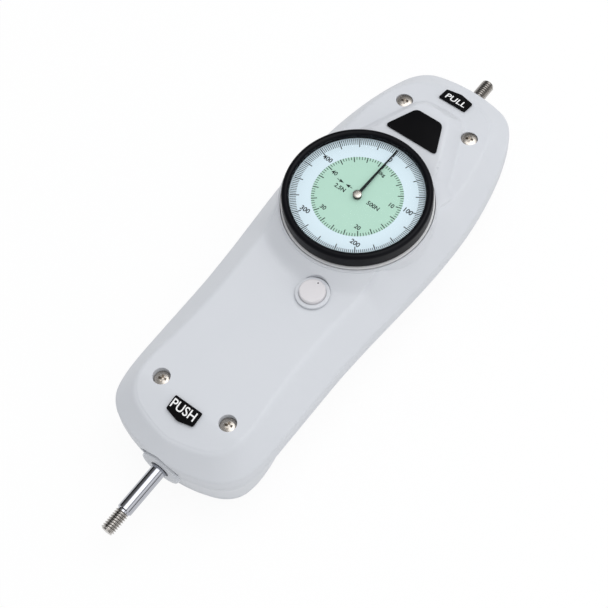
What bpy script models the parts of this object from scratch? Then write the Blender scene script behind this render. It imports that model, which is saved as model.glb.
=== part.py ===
# Analog force gauge: a two-part die-cast housing, a sprung measuring shaft,
# a rack and gear movement, a turning dial ring and a peak hold button.
# X points right, +Y to the pull end and +Z out of the dial. The origin is on the
# rear face, midway between the two tips of the shaft.

import math

import bmesh
import bpy
from mathutils import Vector

MM = 0.001
FULL_TURN = 2 * math.pi

# Clearances and detail
SEAT_GAP = 0.3 * MM
RUN_GAP = 0.2 * MM
OVERRUN = 1.0 * MM
MERGE = 0.01 * MM
FINE_ROUND = 48
ROUND = 24
SMALL_ROUND = 12

# Whole gauge
OVERALL_LENGTH = 240.0 * MM
PUSH_ROD_OUT = 29.9 * MM
PULL_STUD_OUT = 12.6 * MM
BODY_HALF_WIDTH = 35.6 * MM
AXIS_Z = 16.0 * MM
PARTING_Z = 20.4 * MM
LIP_TOP_Z = 25.7 * MM
FACE_Z = 36.0 * MM
WALL = 2.5 * MM
PUSH_Y = PUSH_ROD_OUT - OVERALL_LENGTH / 2
PULL_Y = OVERALL_LENGTH / 2 - PULL_STUD_OUT
BODY_LENGTH = PULL_Y - PUSH_Y

# Outline at the parting line and the crease round the face, from the push end to
# the pull end: (share of the body's length, share of its half width)
BAND_SHARES = (
    (0.0, 0.0), (0.004, 0.25), (0.014, 0.48), (0.03, 0.68), (0.055, 0.812), (0.09, 0.872),
    (0.135, 0.894), (0.2, 0.899), (0.27, 0.9), (0.34, 0.903), (0.42, 0.925), (0.5, 0.958),
    (0.58, 0.988), (0.655, 1.0), (0.73, 0.985), (0.8, 0.937), (0.865, 0.862), (0.92, 0.765),
    (0.96, 0.655), (0.985, 0.5), (0.996, 0.27), (1.0, 0.0),
)
CREASE_SHARES = (
    (0.032, 0.0), (0.036, 0.17), (0.044, 0.345), (0.056, 0.505), (0.076, 0.62), (0.104, 0.672),
    (0.145, 0.68), (0.2, 0.652), (0.27, 0.632), (0.34, 0.632), (0.42, 0.655), (0.5, 0.684),
    (0.58, 0.722), (0.655, 0.758), (0.73, 0.765), (0.8, 0.738), (0.86, 0.68), (0.905, 0.595),
    (0.936, 0.49), (0.953, 0.345), (0.961, 0.17), (0.963, 0.0),
)
OUTLINE_STEPS = 2

# Front cover section: (share of the way in to the crease, share of the facet's rise)
FACET_SHARES = ((0.02, 0.0), (0.9, 0.88), (0.98, 0.965), (1.07, 0.992), (1.17, 1.0))
INNER_FACET_SHARES = ((0.02, 0.0), (0.94, 0.92), (1.17, 1.0))
FACE_COLUMN_SHARES = (0.72, 0.4, 0.0)
PARTING_GAP = 0.3 * MM
PUSH_SLOPE_INSET = 21.0 * MM
PULL_SLOPE_INSET = 27.4 * MM
SLOPE_BLEND = 3.0 * MM
END_SLOPE = math.tan(math.radians(16))

# Rear cover section: (share of the way in, share of the drop to the rear face)
REAR_LAND = 1.4 * MM
REAR_SHARES = ((0.03, 0.06), (0.88, 0.87), (1.0, 0.97), (1.15, 1.0))
INNER_REAR_SHARES = ((0.94, 0.92), (1.15, 1.0))
REAR_COLUMN_SHARES = (0.0,)

# The dial's place, its main radii from the open dial outwards, and the raised deck
DIAL_FROM_PULL_END = 76.7 * MM
DIAL_Y = PULL_Y - DIAL_FROM_PULL_END
VISIBLE_RADIUS = 25.5 * MM
BEZEL_WIDTH = 4.1 * MM
BEZEL_OVERHANG = 1.6 * MM
POINTER_TIP_GAP = 0.8 * MM
BEZEL_RADIUS = VISIBLE_RADIUS + BEZEL_WIDTH
CASE_RADIUS = BEZEL_RADIUS - BEZEL_OVERHANG
POINTER_REACH = VISIBLE_RADIUS - POINTER_TIP_GAP
CASE_HOLE_GAP = 0.5 * MM
DECK_RISE = 4.3 * MM
DECK_REACH = 8.0 * MM

# Hood between the dial and the pull end, measured from the dial's centre
HOOD_RIDGE = (
    (20.3 * MM, 17.0 * MM), (20.3 * MM, 26.4 * MM), (17.3 * MM, 33.7 * MM),
    (13.7 * MM, 42.2 * MM), (9.9 * MM, 50.4 * MM), (6.6 * MM, 52.7 * MM), (0.0, 53.0 * MM),
)
HOOD_TOP_Z = 42.5 * MM
HOOD_RIDGE_DROP = 1.3 * MM
HOOD_ROUND_DROP = 0.325 * MM
HOOD_EDGE_IN = 1.1 * MM
HOOD_SKIRT_OUT = 4.6 * MM
HOOD_SKIRT_Z = 35.7 * MM
HOOD_SINK = 1.2 * MM

# Cover screws and their posts
SCREW_X = 15.5 * MM
PUSH_SCREW_INSET = 23.2 * MM
PULL_SCREW_INSET = 25.2 * MM
COUNTERBORE_RADIUS = 3.35 * MM
PUSH_HEAD_DEPTH = 2.0 * MM
PULL_HEAD_DEPTH = 1.0 * MM
SCREW_HEAD_RADIUS = 2.9 * MM
SCREW_HEAD_HEIGHT = 1.9 * MM
SCREW_RADIUS = 1.5 * MM
SCREW_LENGTH = 22.0 * MM
FRONT_POST_RADIUS = 5.0 * MM
REAR_POST_RADIUS = 4.4 * MM

# Small screws that hold the works
SMALL_HEAD_RADIUS = 2.3 * MM
SMALL_HEAD_HEIGHT = 1.4 * MM
SMALL_SCREW_RADIUS = 1.1 * MM
SMALL_SCREW_LENGTH = 7.0 * MM
SMALL_POST_RADIUS = 3.0 * MM

# Form of every screw head, as shares of its own height and radius
DOME_SHARE = 1 / 3
DRIVE_REACH_SHARE = 0.7
DRIVE_HALF_SHARE = 0.3
DRIVE_FLOOR_SHARE = 0.5

# Mounting inserts in the rear face
INSERT_X = 14.0 * MM
INSERT_PUSH_INSET = 45.0 * MM
INSERT_PULL_INSET = 58.0 * MM
INSERT_RADIUS = 3.2 * MM
INSERT_BORE_RADIUS = 2.1 * MM
INSERT_RECESS = 0.4 * MM
INSERT_LENGTH = 6.0 * MM
INSERT_BOSS_WALL = 1.6 * MM

# Shaft, guide bushes and end bosses
SHAFT_RADIUS = 3.0 * MM
THREAD_RADIUS = 2.8 * MM
THREAD_LENGTH = 8.8 * MM
THREAD_RELIEF = 0.8 * MM
TIP_CHAMFER = 0.6 * MM
BOSS_RADIUS = 9.5 * MM
BOSS_OUT = 1.5 * MM
BOSS_LENGTH = 12.0 * MM
BOSS_MOUTH_RADIUS = 3.9 * MM
BOSS_LIP = 2.0 * MM
BUSH_RADIUS = 5.0 * MM
BUSH_LENGTH = 9.0 * MM
PULL_BOSS_RADIUS = 6.6 * MM
PULL_BOSS_INSET = 2.2 * MM
ARCH_GAP = 0.35 * MM
PUSH_BOSS_END = PUSH_Y - BOSS_OUT
PUSH_BOSS_ROOT = PUSH_Y + BOSS_LENGTH
PUSH_SEAT_Y = PUSH_Y + BOSS_LIP
PULL_BOSS_END = PULL_Y - PULL_BOSS_INSET
PULL_BOSS_ROOT = PULL_BOSS_END - BOSS_LENGTH
PULL_SEAT_Y = PULL_BOSS_END - BOSS_LIP

# Carriage between the push rod and the pull stud
CARRIAGE_HALF_HEIGHT = 4.5 * MM
CARRIAGE_RIGHT = 6.5 * MM
CARRIAGE_LEFT = 6.2 * MM
CARRIAGE_PUSH_BLOCK = 11.7 * MM
CARRIAGE_PULL_BLOCK = 12.0 * MM
CARRIAGE_WAIST = 29.0 * MM
WAIST_TO_GEAR = 19.43 * MM
ROD_GRIP = 9.0 * MM
NUT_ACROSS_FLATS = 10.0 * MM
NUT_HEIGHT = 4.0 * MM

# Rack and gears
RACK_MODULE = 0.8 * MM
PINION_TEETH = 15
GEAR_MODULE = 0.5 * MM
GEAR_TEETH = 60
CENTRE_TEETH = 16
GEAR_BEARING_ANGLE = math.radians(238.3)
GEAR_BACKLASH = 0.04 * MM
TOOTH_TIP_SHARE = 0.8
TOOTH_ROOT_SHARE = 1.2
TOOTH_WIDTH_SHARE = 0.42
TOOTH_FLANK = math.tan(math.radians(20))
RACK_TEETH = 8
RACK_THICKNESS = 2.1 * MM
RACK_HALF_HEIGHT = 2.25 * MM
RACK_LOW_TEETH = 6
RACK_END_SHARE = 0.2
GEAR_THICKNESS = 1.6 * MM
GEAR_HUB_RADIUS = 3.6 * MM
GEAR_HUB_HEIGHT = 3.4 * MM
GEAR_SPOKES = 5
GEAR_WINDOW_RADIUS = 3.0 * MM
GEAR_WINDOW_PLACE = 9.0 * MM
ARBOR_RADIUS = 1.5 * MM
CENTRE_ARBOR_RADIUS = 1.0 * MM
PIVOT_RADIUS = 0.7 * MM
CENTRE_PINION_LENGTH = 2.3 * MM

# Spring anchor, load spring and its collar
ANCHOR_THICKNESS = 5.0 * MM
ANCHOR_WEB_HALF = 11.5 * MM
ANCHOR_FOOT_HALF = 20.5 * MM
ANCHOR_FOOT_HEIGHT = 2.5 * MM
ANCHOR_FOOT_Z = 7.3 * MM
ANCHOR_TOP_Z = 26.0 * MM
ANCHOR_CORNER = 3.8 * MM
ANCHOR_SCREW_X = 16.6 * MM
ANCHOR_SCREW_LENGTH = 5.2 * MM
SPRING_WIRE_RADIUS = 1.6 * MM
SPRING_MEAN_RADIUS = 8.0 * MM
SPRING_LENGTH = 40.0 * MM
SPRING_TURNS = 6.5
SPRING_STEPS = 12
SPRING_END_TURNS = 0.75
SPRING_END_GAP = 0.5 * MM
COLLAR_RADIUS = 9.6 * MM
COLLAR_THICKNESS = 3.2 * MM

# Chassis and bridge plates
CHASSIS_LOW_Z = 21.0 * MM
CHASSIS_THICKNESS = 1.5 * MM
CHASSIS_HALF_WIDTH = 22.0 * MM
CHASSIS_PUSH_REACH = 45.7 * MM
CHASSIS_PULL_REACH = 40.0 * MM
CHASSIS_CORNER = 4.0 * MM
CHASSIS_SCREW_INSET = 4.2 * MM
BRIDGE_LOW_Z = 28.4 * MM
BRIDGE_THICKNESS = 1.5 * MM
BRIDGE_MARGIN = 4.0 * MM
PILLAR_PLACE = 16.0 * MM
PILLAR_ANGLES = (math.radians(-58), math.radians(20), math.radians(165))
PILLAR_RADIUS = 2.2 * MM
PILLAR_BORE_DEPTH = 4.5 * MM

# Dial case, hairspring, pointer and zero ring
CASE_FLOOR = 1.4 * MM
CASE_WALL = 1.0 * MM
CASE_FLOOR_HOLE = 2.2 * MM
BEZEL_TOP_Z = 50.0 * MM
BEZEL_HEIGHT = 5.0 * MM
BEZEL_EDGE = 1.1 * MM
EDGE_SHARE = 1 / 3
BEZEL_SPIGOT = 2.0 * MM
RING_HEIGHT = 0.5 * MM
RING_WIDTH = 1.0 * MM
CRYSTAL_THICKNESS = 1.0 * MM
SPACER_HEIGHT = 1.6 * MM
DIAL_THICKNESS = 0.8 * MM
DIAL_LEDGE = 0.9 * MM
DIAL_HOLE = 1.6 * MM
HAIRSPRING_TURNS = 5
HAIRSPRING_WIRE_RADIUS = 0.2 * MM
HAIRSPRING_PITCH = 1.0 * MM
HAIRSPRING_LIFT = 3.0 * MM
FINE_SPRING_STEPS = 10
STUD_RADIUS = 0.9 * MM
STUD_RISE = 1.0 * MM
POINTER_TAIL = 5.5 * MM
POINTER_ARC_STEPS = 6
POINTER_THICKNESS = 0.5 * MM
POINTER_HUB = 2.3 * MM
POINTER_ROOT = 0.75 * MM
POINTER_TIP = 0.15 * MM
POINTER_LIFT = 0.7 * MM
POINTER_ANGLE = math.radians(-4.6)
POINTER_BORE = 1.0 * MM
CAP_RADIUS = 1.7 * MM
CAP_HEIGHT = 0.4 * MM

# Peak hold button and brake lever
BUTTON_X = 8.2 * MM
BUTTON_FROM_DIAL = 38.8 * MM
BUTTON_Y = DIAL_Y - BUTTON_FROM_DIAL
BUTTON_RADIUS = 5.0 * MM
BUTTON_PROUD = 3.0 * MM
BUTTON_HEIGHT = 5.1 * MM
BUTTON_ROOF = 1.5 * MM
BUTTON_BORE = 3.9 * MM
BUTTON_EDGE = 0.7 * MM
BUTTON_TRAVEL = 2.5 * MM
COLLAR_FLANGE_RADIUS = 6.6 * MM
COLLAR_FLANGE_HEIGHT = 1.0 * MM
BUTTON_COLLAR_WALL = 0.8 * MM
BUTTON_COLLAR_FLOOR = 1.5 * MM
STEM_RADIUS = 1.5 * MM
STEM_TIP_RADIUS = 1.0 * MM
STEM_HEAD_RADIUS = 2.4 * MM
STEM_HEAD_HEIGHT = 1.2 * MM
CLIP_RADIUS = 2.6 * MM
CLIP_HEIGHT = 0.6 * MM
BUTTON_SPRING_WIRE = 0.3 * MM
BUTTON_SPRING_RADIUS = 3.25 * MM
BUTTON_SPRING_TURNS = 4
LEVER_Z = 26.7 * MM
LEVER_THICKNESS = 1.2 * MM
LEVER_HALF_WIDTH = 2.0 * MM
LEVER_PUSH_REACH = 12.3 * MM
LEVER_PULL_REACH = 6.8 * MM
LEVER_SIDE_REACH = 6.3 * MM
PIVOT_FROM_BUTTON = 10.1 * MM
PIVOT_Z = 25.0 * MM
LUG_RADIUS = 1.6 * MM
GEAR_OVER_PIVOT = 0.53 * MM
PIN_RADIUS = 0.8 * MM
EAR_THICKNESS = 1.2 * MM
EAR_GAP = 0.5 * MM
PAD_RADIUS = 1.4 * MM

# Thin plates on the front
PLATE_THICKNESS = 0.5 * MM
NAME_PLATE_LONG = 11.4 * MM
NAME_PLATE_SHORT = 5.9 * MM
NAME_PLATE_LOW = 33.7 * MM
NAME_PLATE_HIGH = 46.6 * MM
NAME_PLATE_CORNER = 1.2 * MM
WORD_PLATE_HALF = 6.2 * MM
WORD_PLATE_SIDE = 5.9 * MM
WORD_PLATE_ROOF = 1.5 * MM
PUSH_PLATE_INSET = 16.4 * MM
PULL_PLATE_INSET = 11.4 * MM
BEND_ROOM = 0.1 * MM

COLOURS = {
    "painted_case": ((0.80, 0.81, 0.83), 0.45, 0.0),
    "black_anodised": ((0.012, 0.012, 0.014), 0.35, 0.2),
    "black_paint": ((0.01, 0.01, 0.01), 0.5, 0.0),
    "steel": ((0.55, 0.55, 0.56), 0.25, 1.0),
    "spring_steel": ((0.35, 0.35, 0.37), 0.3, 1.0),
    "brass": ((0.72, 0.52, 0.22), 0.3, 1.0),
    "bronze": ((0.55, 0.36, 0.18), 0.4, 1.0),
    "aluminium": ((0.62, 0.63, 0.65), 0.35, 1.0),
    "dial_white": ((0.82, 0.90, 0.93), 0.6, 0.0),
    "glass": ((0.95, 0.97, 0.98), 0.05, 0.0),
    "button_plastic": ((0.86, 0.85, 0.83), 0.4, 0.0),
    "cork": ((0.35, 0.24, 0.15), 0.9, 0.0),
}

for old in list(bpy.data.objects):
    bpy.data.objects.remove(old, do_unlink=True)

parts = bpy.data.collections.new("analog_force_gauge")
cutters = bpy.data.collections.new("cutters")
bpy.context.scene.collection.children.link(parts)
bpy.context.scene.collection.children.link(cutters)


def material(name):
    """The finish of one sub-part."""
    found = bpy.data.materials.get(name)
    if found:
        return found
    colour, roughness, metallic = COLOURS[name]
    made = bpy.data.materials.new(name)
    made.use_nodes = True
    shader = made.node_tree.nodes["Principled BSDF"]
    shader.inputs["Base Color"].default_value = (*colour, 1.0)
    shader.inputs["Roughness"].default_value = roughness
    shader.inputs["Metallic"].default_value = metallic
    return made


def empty(name, location, rotation=(0, 0, 0)):
    """An axis that pieces hang from."""
    made = bpy.data.objects.new(name, None)
    made.location = location
    made.rotation_euler = rotation
    parts.objects.link(made)
    return made


def place(thing, parent=None, location=(0, 0, 0), rotation=(0, 0, 0)):
    thing.parent = parent
    thing.location = location
    thing.rotation_euler = rotation
    return thing


def piece(name, mesh, finish, smooth=True):
    """A named sub-part from a mesh."""
    made = bpy.data.objects.new(name, mesh)
    made.data.materials.clear()
    made.data.materials.append(material(finish))
    parts.objects.link(made)
    if smooth:
        mesh.shade_smooth()
        mesh.set_sharp_from_angle(angle=math.radians(35))
    return made


def helper(name, mesh):
    """A cutter or an adder, which isn't part of the gauge."""
    made = bpy.data.objects.new(name, mesh)
    made.hide_render = True
    made.display_type = "WIRE"
    cutters.objects.link(made)
    return made


def boolean(target, tool, operation, crowded=False):
    """Add or cut the tool; a crowded tool holds bodies that may run into each other."""
    step = target.modifiers.new(tool.name, "BOOLEAN")
    step.operation = operation
    step.solver = "EXACT"
    step.use_self = crowded
    step.object = tool
    return target


def mesh_of(bm, name):
    mesh = bpy.data.meshes.new(name)
    bm.to_mesh(mesh)
    bm.free()
    return mesh


def add_cylinder(bm, radius, low, high, at=(0, 0), along="Z", sides=ROUND, top_radius=None):
    """A closed cylinder, or a cone, from low to high along Z or Y."""
    made = bmesh.ops.create_cone(
        bm, cap_ends=True, segments=sides, radius1=radius,
        radius2=radius if top_radius is None else top_radius, depth=high - low,
    )["verts"]
    bmesh.ops.translate(bm, verts=made, vec=(0, 0, (low + high) / 2))
    if along == "Y":
        for vert in made:
            x, y, z = vert.co
            vert.co = Vector((x, z, -y))
        bmesh.ops.translate(bm, verts=made, vec=(at[0], 0, at[1]))
    else:
        bmesh.ops.translate(bm, verts=made, vec=(at[0], at[1], 0))
    return made


def add_box(bm, low, high):
    made = bmesh.ops.create_cube(bm, size=1)["verts"]
    size = [b - a for a, b in zip(low, high)]
    middle = [(a + b) / 2 for a, b in zip(low, high)]
    bmesh.ops.scale(bm, verts=made, vec=size)
    bmesh.ops.translate(bm, verts=made, vec=middle)
    return made


def turned_mesh(name, profile, closed):
    """A profile of (radius, height) as edges, for the Screw modifier."""
    mesh = bpy.data.meshes.new(name)
    count = len(profile)
    edges = [(i, i + 1) for i in range(count - 1)]
    if closed:
        edges.append((count - 1, 0))
    mesh.from_pydata([(r, 0, z) for r, z in profile], edges, [])
    return mesh


def turn(made, sides):
    screw = made.modifiers.new("turn", "SCREW")
    screw.angle = FULL_TURN
    screw.steps = sides
    screw.render_steps = sides
    screw.use_merge_vertices = True
    screw.merge_threshold = MERGE
    return made


def turned(name, profile, finish, closed=False, sides=ROUND):
    """A turned sub-part: its outer side runs from top to bottom."""
    made = bpy.data.objects.new(name, turned_mesh(name, profile, closed))
    made.data.materials.append(material(finish))
    parts.objects.link(made)
    return turn(made, sides)


def turned_helper(name, profile, closed=False, sides=ROUND):
    return turn(helper(name, turned_mesh(name, profile, closed)), sides)


def circle(radius, centre=(0, 0), sides=ROUND):
    return [
        (centre[0] + radius * math.cos(FULL_TURN * i / sides),
         centre[1] + radius * math.sin(FULL_TURN * i / sides))
        for i in range(sides)
    ]


def flat_mesh(name, outlines, thickness):
    """A flat plate with its holes, from 2D curves, made a mesh."""
    curve = bpy.data.curves.new(name, "CURVE")
    curve.dimensions = "2D"
    curve.fill_mode = "BOTH"
    curve.extrude = thickness / 2
    for outline in outlines:
        spline = curve.splines.new("POLY")
        spline.points.add(len(outline) - 1)
        for point, (x, y) in zip(spline.points, outline):
            point.co = (x, y, 0, 1)
        spline.use_cyclic_u = True
    rough = bpy.data.objects.new(name, curve)
    bpy.context.scene.collection.objects.link(rough)
    graph = bpy.context.evaluated_depsgraph_get()
    mesh = bpy.data.meshes.new_from_object(rough.evaluated_get(graph))
    bpy.data.objects.remove(rough, do_unlink=True)
    bm = bmesh.new()
    bm.from_mesh(mesh)
    bmesh.ops.remove_doubles(bm, verts=bm.verts, dist=MERGE)
    bmesh.ops.recalc_face_normals(bm, faces=bm.faces)
    bm.to_mesh(mesh)
    bm.free()
    return mesh


def plate(name, outlines, low, high, finish):
    """A flat sub-part lying in XY between two heights."""
    made = piece(name, flat_mesh(name, outlines, high - low), finish, smooth=False)
    made.location.z = (low + high) / 2
    return made


def rounded_hull(corners, radius, steps=4):
    """A convex outline round corners given anticlockwise, with round ends of one radius."""
    outline = []
    count = len(corners)
    for i, (x, y) in enumerate(corners):
        before = corners[i - 1]
        after = corners[(i + 1) % count]
        start = math.atan2(y - before[1], x - before[0]) - math.pi / 2
        turn_by = (math.atan2(after[1] - y, after[0] - x) - math.pi / 2 - start) % FULL_TURN
        for k in range(steps + 1):
            angle = start + turn_by * k / steps
            outline.append((x + radius * math.cos(angle), y + radius * math.sin(angle)))
    return outline


def wire(name, points, radius, finish, detail):
    """A wire along points."""
    curve = bpy.data.curves.new(name, "CURVE")
    curve.dimensions = "3D"
    curve.bevel_depth = radius
    curve.bevel_resolution = detail
    curve.use_fill_caps = True
    spline = curve.splines.new("POLY")
    spline.points.add(len(points) - 1)
    for point, co in zip(spline.points, points):
        point.co = (*co, 1)
    made = bpy.data.objects.new(name, curve)
    made.data.materials.append(material(finish))
    parts.objects.link(made)
    return made


def smooth_path(points, steps):
    """A curve through points that meets the centre plane squarely at both ends."""
    mirrored = lambda p: (p[0], -p[1])
    path = [mirrored(points[1])] + list(points) + [mirrored(points[-2])]
    out = []
    for i in range(1, len(path) - 2):
        p0, p1, p2, p3 = (Vector(path[i + k]) for k in (-1, 0, 1, 2))
        for k in range(steps):
            t = k / steps
            out.append(
                (p1 * 2 + (p2 - p0) * t + (p0 * 2 - p1 * 5 + p2 * 4 - p3) * t ** 2
                 + (p1 * 3 - p0 - p2 * 3 + p3) * t ** 3) / 2
            )
    out.append(Vector(points[-1]))
    return out


def outline_points(shares):
    """Half of an outline as (x, y), from the push end to the pull end."""
    return [
        (BODY_HALF_WIDTH * across, PUSH_Y + BODY_LENGTH * along)
        for along, across in smooth_path(shares, OUTLINE_STEPS)
    ]


def blend(share):
    share = min(max(share, 0), 1)
    return share * share * (3 - 2 * share)


def face_height(x, y):
    """Height of the front face: flat, falling to both ends, rising to the dial."""
    height = FACE_Z
    for past in (PUSH_Y + PUSH_SLOPE_INSET - y, y - PULL_Y + PULL_SLOPE_INSET):
        if past > 0:
            height -= END_SLOPE * past * past / (past + SLOPE_BLEND)
    from_hole = math.hypot(x, y - DIAL_Y) - CASE_RADIUS - CASE_HOLE_GAP
    return height + DECK_RISE * (1 - blend(from_hole / DECK_REACH))


BAND = outline_points(BAND_SHARES)
CREASE = outline_points(CREASE_SHARES)


def inset_path(path, distance):
    """Half of an outline moved inwards, its two ends kept on the centre plane."""
    last = len(path) - 1
    moved = []
    for i, (x, y) in enumerate(path):
        along = Vector(path[min(i + 1, last)]) - Vector(path[max(i - 1, 0)])
        if i == 0:
            along = Vector((1, 0))
        if i == last:
            along = Vector((-1, 0))
        along.normalize()
        moved.append((max(x - along.y * distance, 0), y + along.x * distance))
    return moved


def shell(name, outer_rows, inner_rows):
    """A cover: half of its outer skin, inner skin and rim, lofted and mirrored."""
    bm = bmesh.new()
    outer = [[bm.verts.new(point) for point in row] for row in outer_rows]
    inner = [[bm.verts.new(point) for point in row] for row in inner_rows]
    rim = [(a[0], b[0]) for a, b in zip(outer, inner)]
    for grid in (outer, inner, rim):
        for low, high in zip(grid, grid[1:]):
            for corners in zip(low, high, high[1:], low[1:]):
                bm.faces.new(corners)
    half = bm.verts[:] + bm.edges[:] + bm.faces[:]
    bmesh.ops.mirror(bm, geom=half, axis="X", merge_dist=MERGE)
    bmesh.ops.remove_doubles(bm, verts=bm.verts, dist=MERGE)
    bmesh.ops.dissolve_degenerate(bm, edges=bm.edges, dist=MERGE)
    bmesh.ops.recalc_face_normals(bm, faces=bm.faces)
    return piece(name, mesh_of(bm, name), "painted_case", smooth=False)


def front_rows(shares, wall):
    """Rows of points across the front skin, moved inwards by the wall."""
    rows = []
    band_path, crease_path = inset_path(BAND, wall), inset_path(CREASE, wall)
    for (band_x, band_y), (crease_x, crease_y) in zip(band_path, crease_path):
        top = face_height(crease_x, crease_y)
        row = [(band_x, band_y, PARTING_Z + PARTING_GAP / 2)]
        for inward, rise in shares:
            x = max(band_x + inward * (crease_x - band_x), 0)
            y = band_y + inward * (crease_y - band_y)
            height = face_height(x, y) if rise == 1 else LIP_TOP_Z + rise * (top - LIP_TOP_Z)
            row.append((x, y, height - wall))
        edge_x, edge_y = row[-1][:2]
        for share in FACE_COLUMN_SHARES:
            row.append((edge_x * share, edge_y, face_height(edge_x * share, edge_y) - wall))
        rows.append(row)
    return rows


def rear_rows(shares, wall):
    """Rows of points across the rear skin, moved inwards by the wall."""
    rows = []
    top = PARTING_Z - PARTING_GAP / 2
    drop = top - REAR_LAND
    band_path, crease_path = inset_path(BAND, wall), inset_path(CREASE, wall)
    for (band_x, band_y), (crease_x, crease_y) in zip(band_path, crease_path):
        row = [(band_x, band_y, top), (band_x, band_y, drop)]
        for inward, share in shares:
            x = max(band_x + inward * (crease_x - band_x), 0)
            y = band_y + inward * (crease_y - band_y)
            row.append((x, y, drop - share * (drop - wall)))
        edge_x, edge_y = row[-1][:2]
        for share in REAR_COLUMN_SHARES:
            row.append((edge_x * share, edge_y, wall))
        rows.append(row)
    return rows


def offset_path(points, distance):
    """An open outline moved outwards, its run anticlockwise."""
    moved = []
    for i, point in enumerate(points):
        before = Vector(points[max(i - 1, 0)])
        after = Vector(points[min(i + 1, len(points) - 1)])
        along = (after - before).normalized()
        moved.append((point[0] + along.y * distance, point[1] - along.x * distance))
    return moved


def hood_mesh():
    """The raised hood under the name plate, as a loft between like outlines."""
    levels = (
        (HOOD_SKIRT_OUT, HOOD_SKIRT_Z - HOOD_SINK),
        (HOOD_SKIRT_OUT, HOOD_SKIRT_Z),
        (HOOD_EDGE_IN, HOOD_TOP_Z - HOOD_RIDGE_DROP - HOOD_EDGE_IN),
        (0, HOOD_TOP_Z - HOOD_RIDGE_DROP),
        (-HOOD_EDGE_IN, HOOD_TOP_Z - HOOD_ROUND_DROP),
        (-2 * HOOD_EDGE_IN, HOOD_TOP_Z),
    )
    bm = bmesh.new()
    rings = []
    for outward, z in levels:
        half = offset_path(HOOD_RIDGE, outward)
        whole = half[:-1] + [(0, half[-1][1])] + [(-x, y) for x, y in reversed(half[:-1])]
        rings.append([bm.verts.new((x, y + DIAL_Y, z)) for x, y in whole])
    for low, high in zip(rings, rings[1:]):
        for i in range(len(low)):
            bm.faces.new((low[i - 1], low[i], high[i], high[i - 1]))
    bm.faces.new(reversed(rings[0]))
    bm.faces.new(rings[-1])
    bmesh.ops.recalc_face_normals(bm, faces=bm.faces)
    return mesh_of(bm, "hood")


PUSH_SCREW_Y = PUSH_Y + PUSH_SCREW_INSET
PULL_SCREW_Y = PULL_Y - PULL_SCREW_INSET
SCREW_PLACES = (
    (-SCREW_X, PULL_SCREW_Y, PULL_HEAD_DEPTH), (SCREW_X, PULL_SCREW_Y, PULL_HEAD_DEPTH),
    (-SCREW_X, PUSH_SCREW_Y, PUSH_HEAD_DEPTH), (SCREW_X, PUSH_SCREW_Y, PUSH_HEAD_DEPTH),
)
INSERT_PLACES = tuple(
    (x, y) for y in (PULL_Y - INSERT_PULL_INSET, PUSH_Y + INSERT_PUSH_INSET)
    for x in (-INSERT_X, INSERT_X)
)
CHASSIS_PUSH_Y = DIAL_Y - CHASSIS_PUSH_REACH
CHASSIS_PULL_Y = DIAL_Y + CHASSIS_PULL_REACH
CHASSIS_SCREW_X = CHASSIS_HALF_WIDTH - CHASSIS_SCREW_INSET
CHASSIS_PLACES = tuple(
    (x, y)
    for y in (CHASSIS_PULL_Y - CHASSIS_SCREW_INSET, CHASSIS_PUSH_Y + CHASSIS_SCREW_INSET)
    for x in (-CHASSIS_SCREW_X, CHASSIS_SCREW_X)
)
CHASSIS_TOP_Z = CHASSIS_LOW_Z + CHASSIS_THICKNESS

# Places along the shaft, from the gear train outwards
CENTRE_DISTANCE = GEAR_MODULE * (GEAR_TEETH + CENTRE_TEETH) / 2 + GEAR_BACKLASH
GEAR_X = CENTRE_DISTANCE * math.cos(GEAR_BEARING_ANGLE)
GEAR_Y = DIAL_Y + CENTRE_DISTANCE * math.sin(GEAR_BEARING_ANGLE)
PINION_PITCH_RADIUS = RACK_MODULE * PINION_TEETH / 2
RACK_PITCH_X = GEAR_X + PINION_PITCH_RADIUS
WAIST_PUSH_Y = GEAR_Y - WAIST_TO_GEAR
WAIST_PULL_Y = WAIST_PUSH_Y + CARRIAGE_WAIST
CARRIAGE_PUSH_Y = WAIST_PUSH_Y - CARRIAGE_PUSH_BLOCK
CARRIAGE_PULL_Y = WAIST_PULL_Y + CARRIAGE_PULL_BLOCK
ANCHOR_PULL_Y = CARRIAGE_PUSH_Y - SEAT_GAP
ANCHOR_PUSH_Y = ANCHOR_PULL_Y - ANCHOR_THICKNESS
SPRING_PULL_Y = ANCHOR_PUSH_Y - SEAT_GAP
SPRING_PUSH_Y = SPRING_PULL_Y - SPRING_LENGTH
COLLAR_PULL_Y = SPRING_PUSH_Y - SEAT_GAP
COLLAR_PUSH_Y = COLLAR_PULL_Y - COLLAR_THICKNESS
ANCHOR_Y = (ANCHOR_PULL_Y + ANCHOR_PUSH_Y) / 2

dial_axis = empty("dial_axis", (0, DIAL_Y, 0))
gear_axis = empty("gear_axis", (GEAR_X, GEAR_Y, 0))
button_axis = empty("button_axis", (BUTTON_X, BUTTON_Y, 0))
shaft_axis = empty("shaft_axis", (0, 0, AXIS_Z), (-math.pi / 2, 0, 0))


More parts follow.
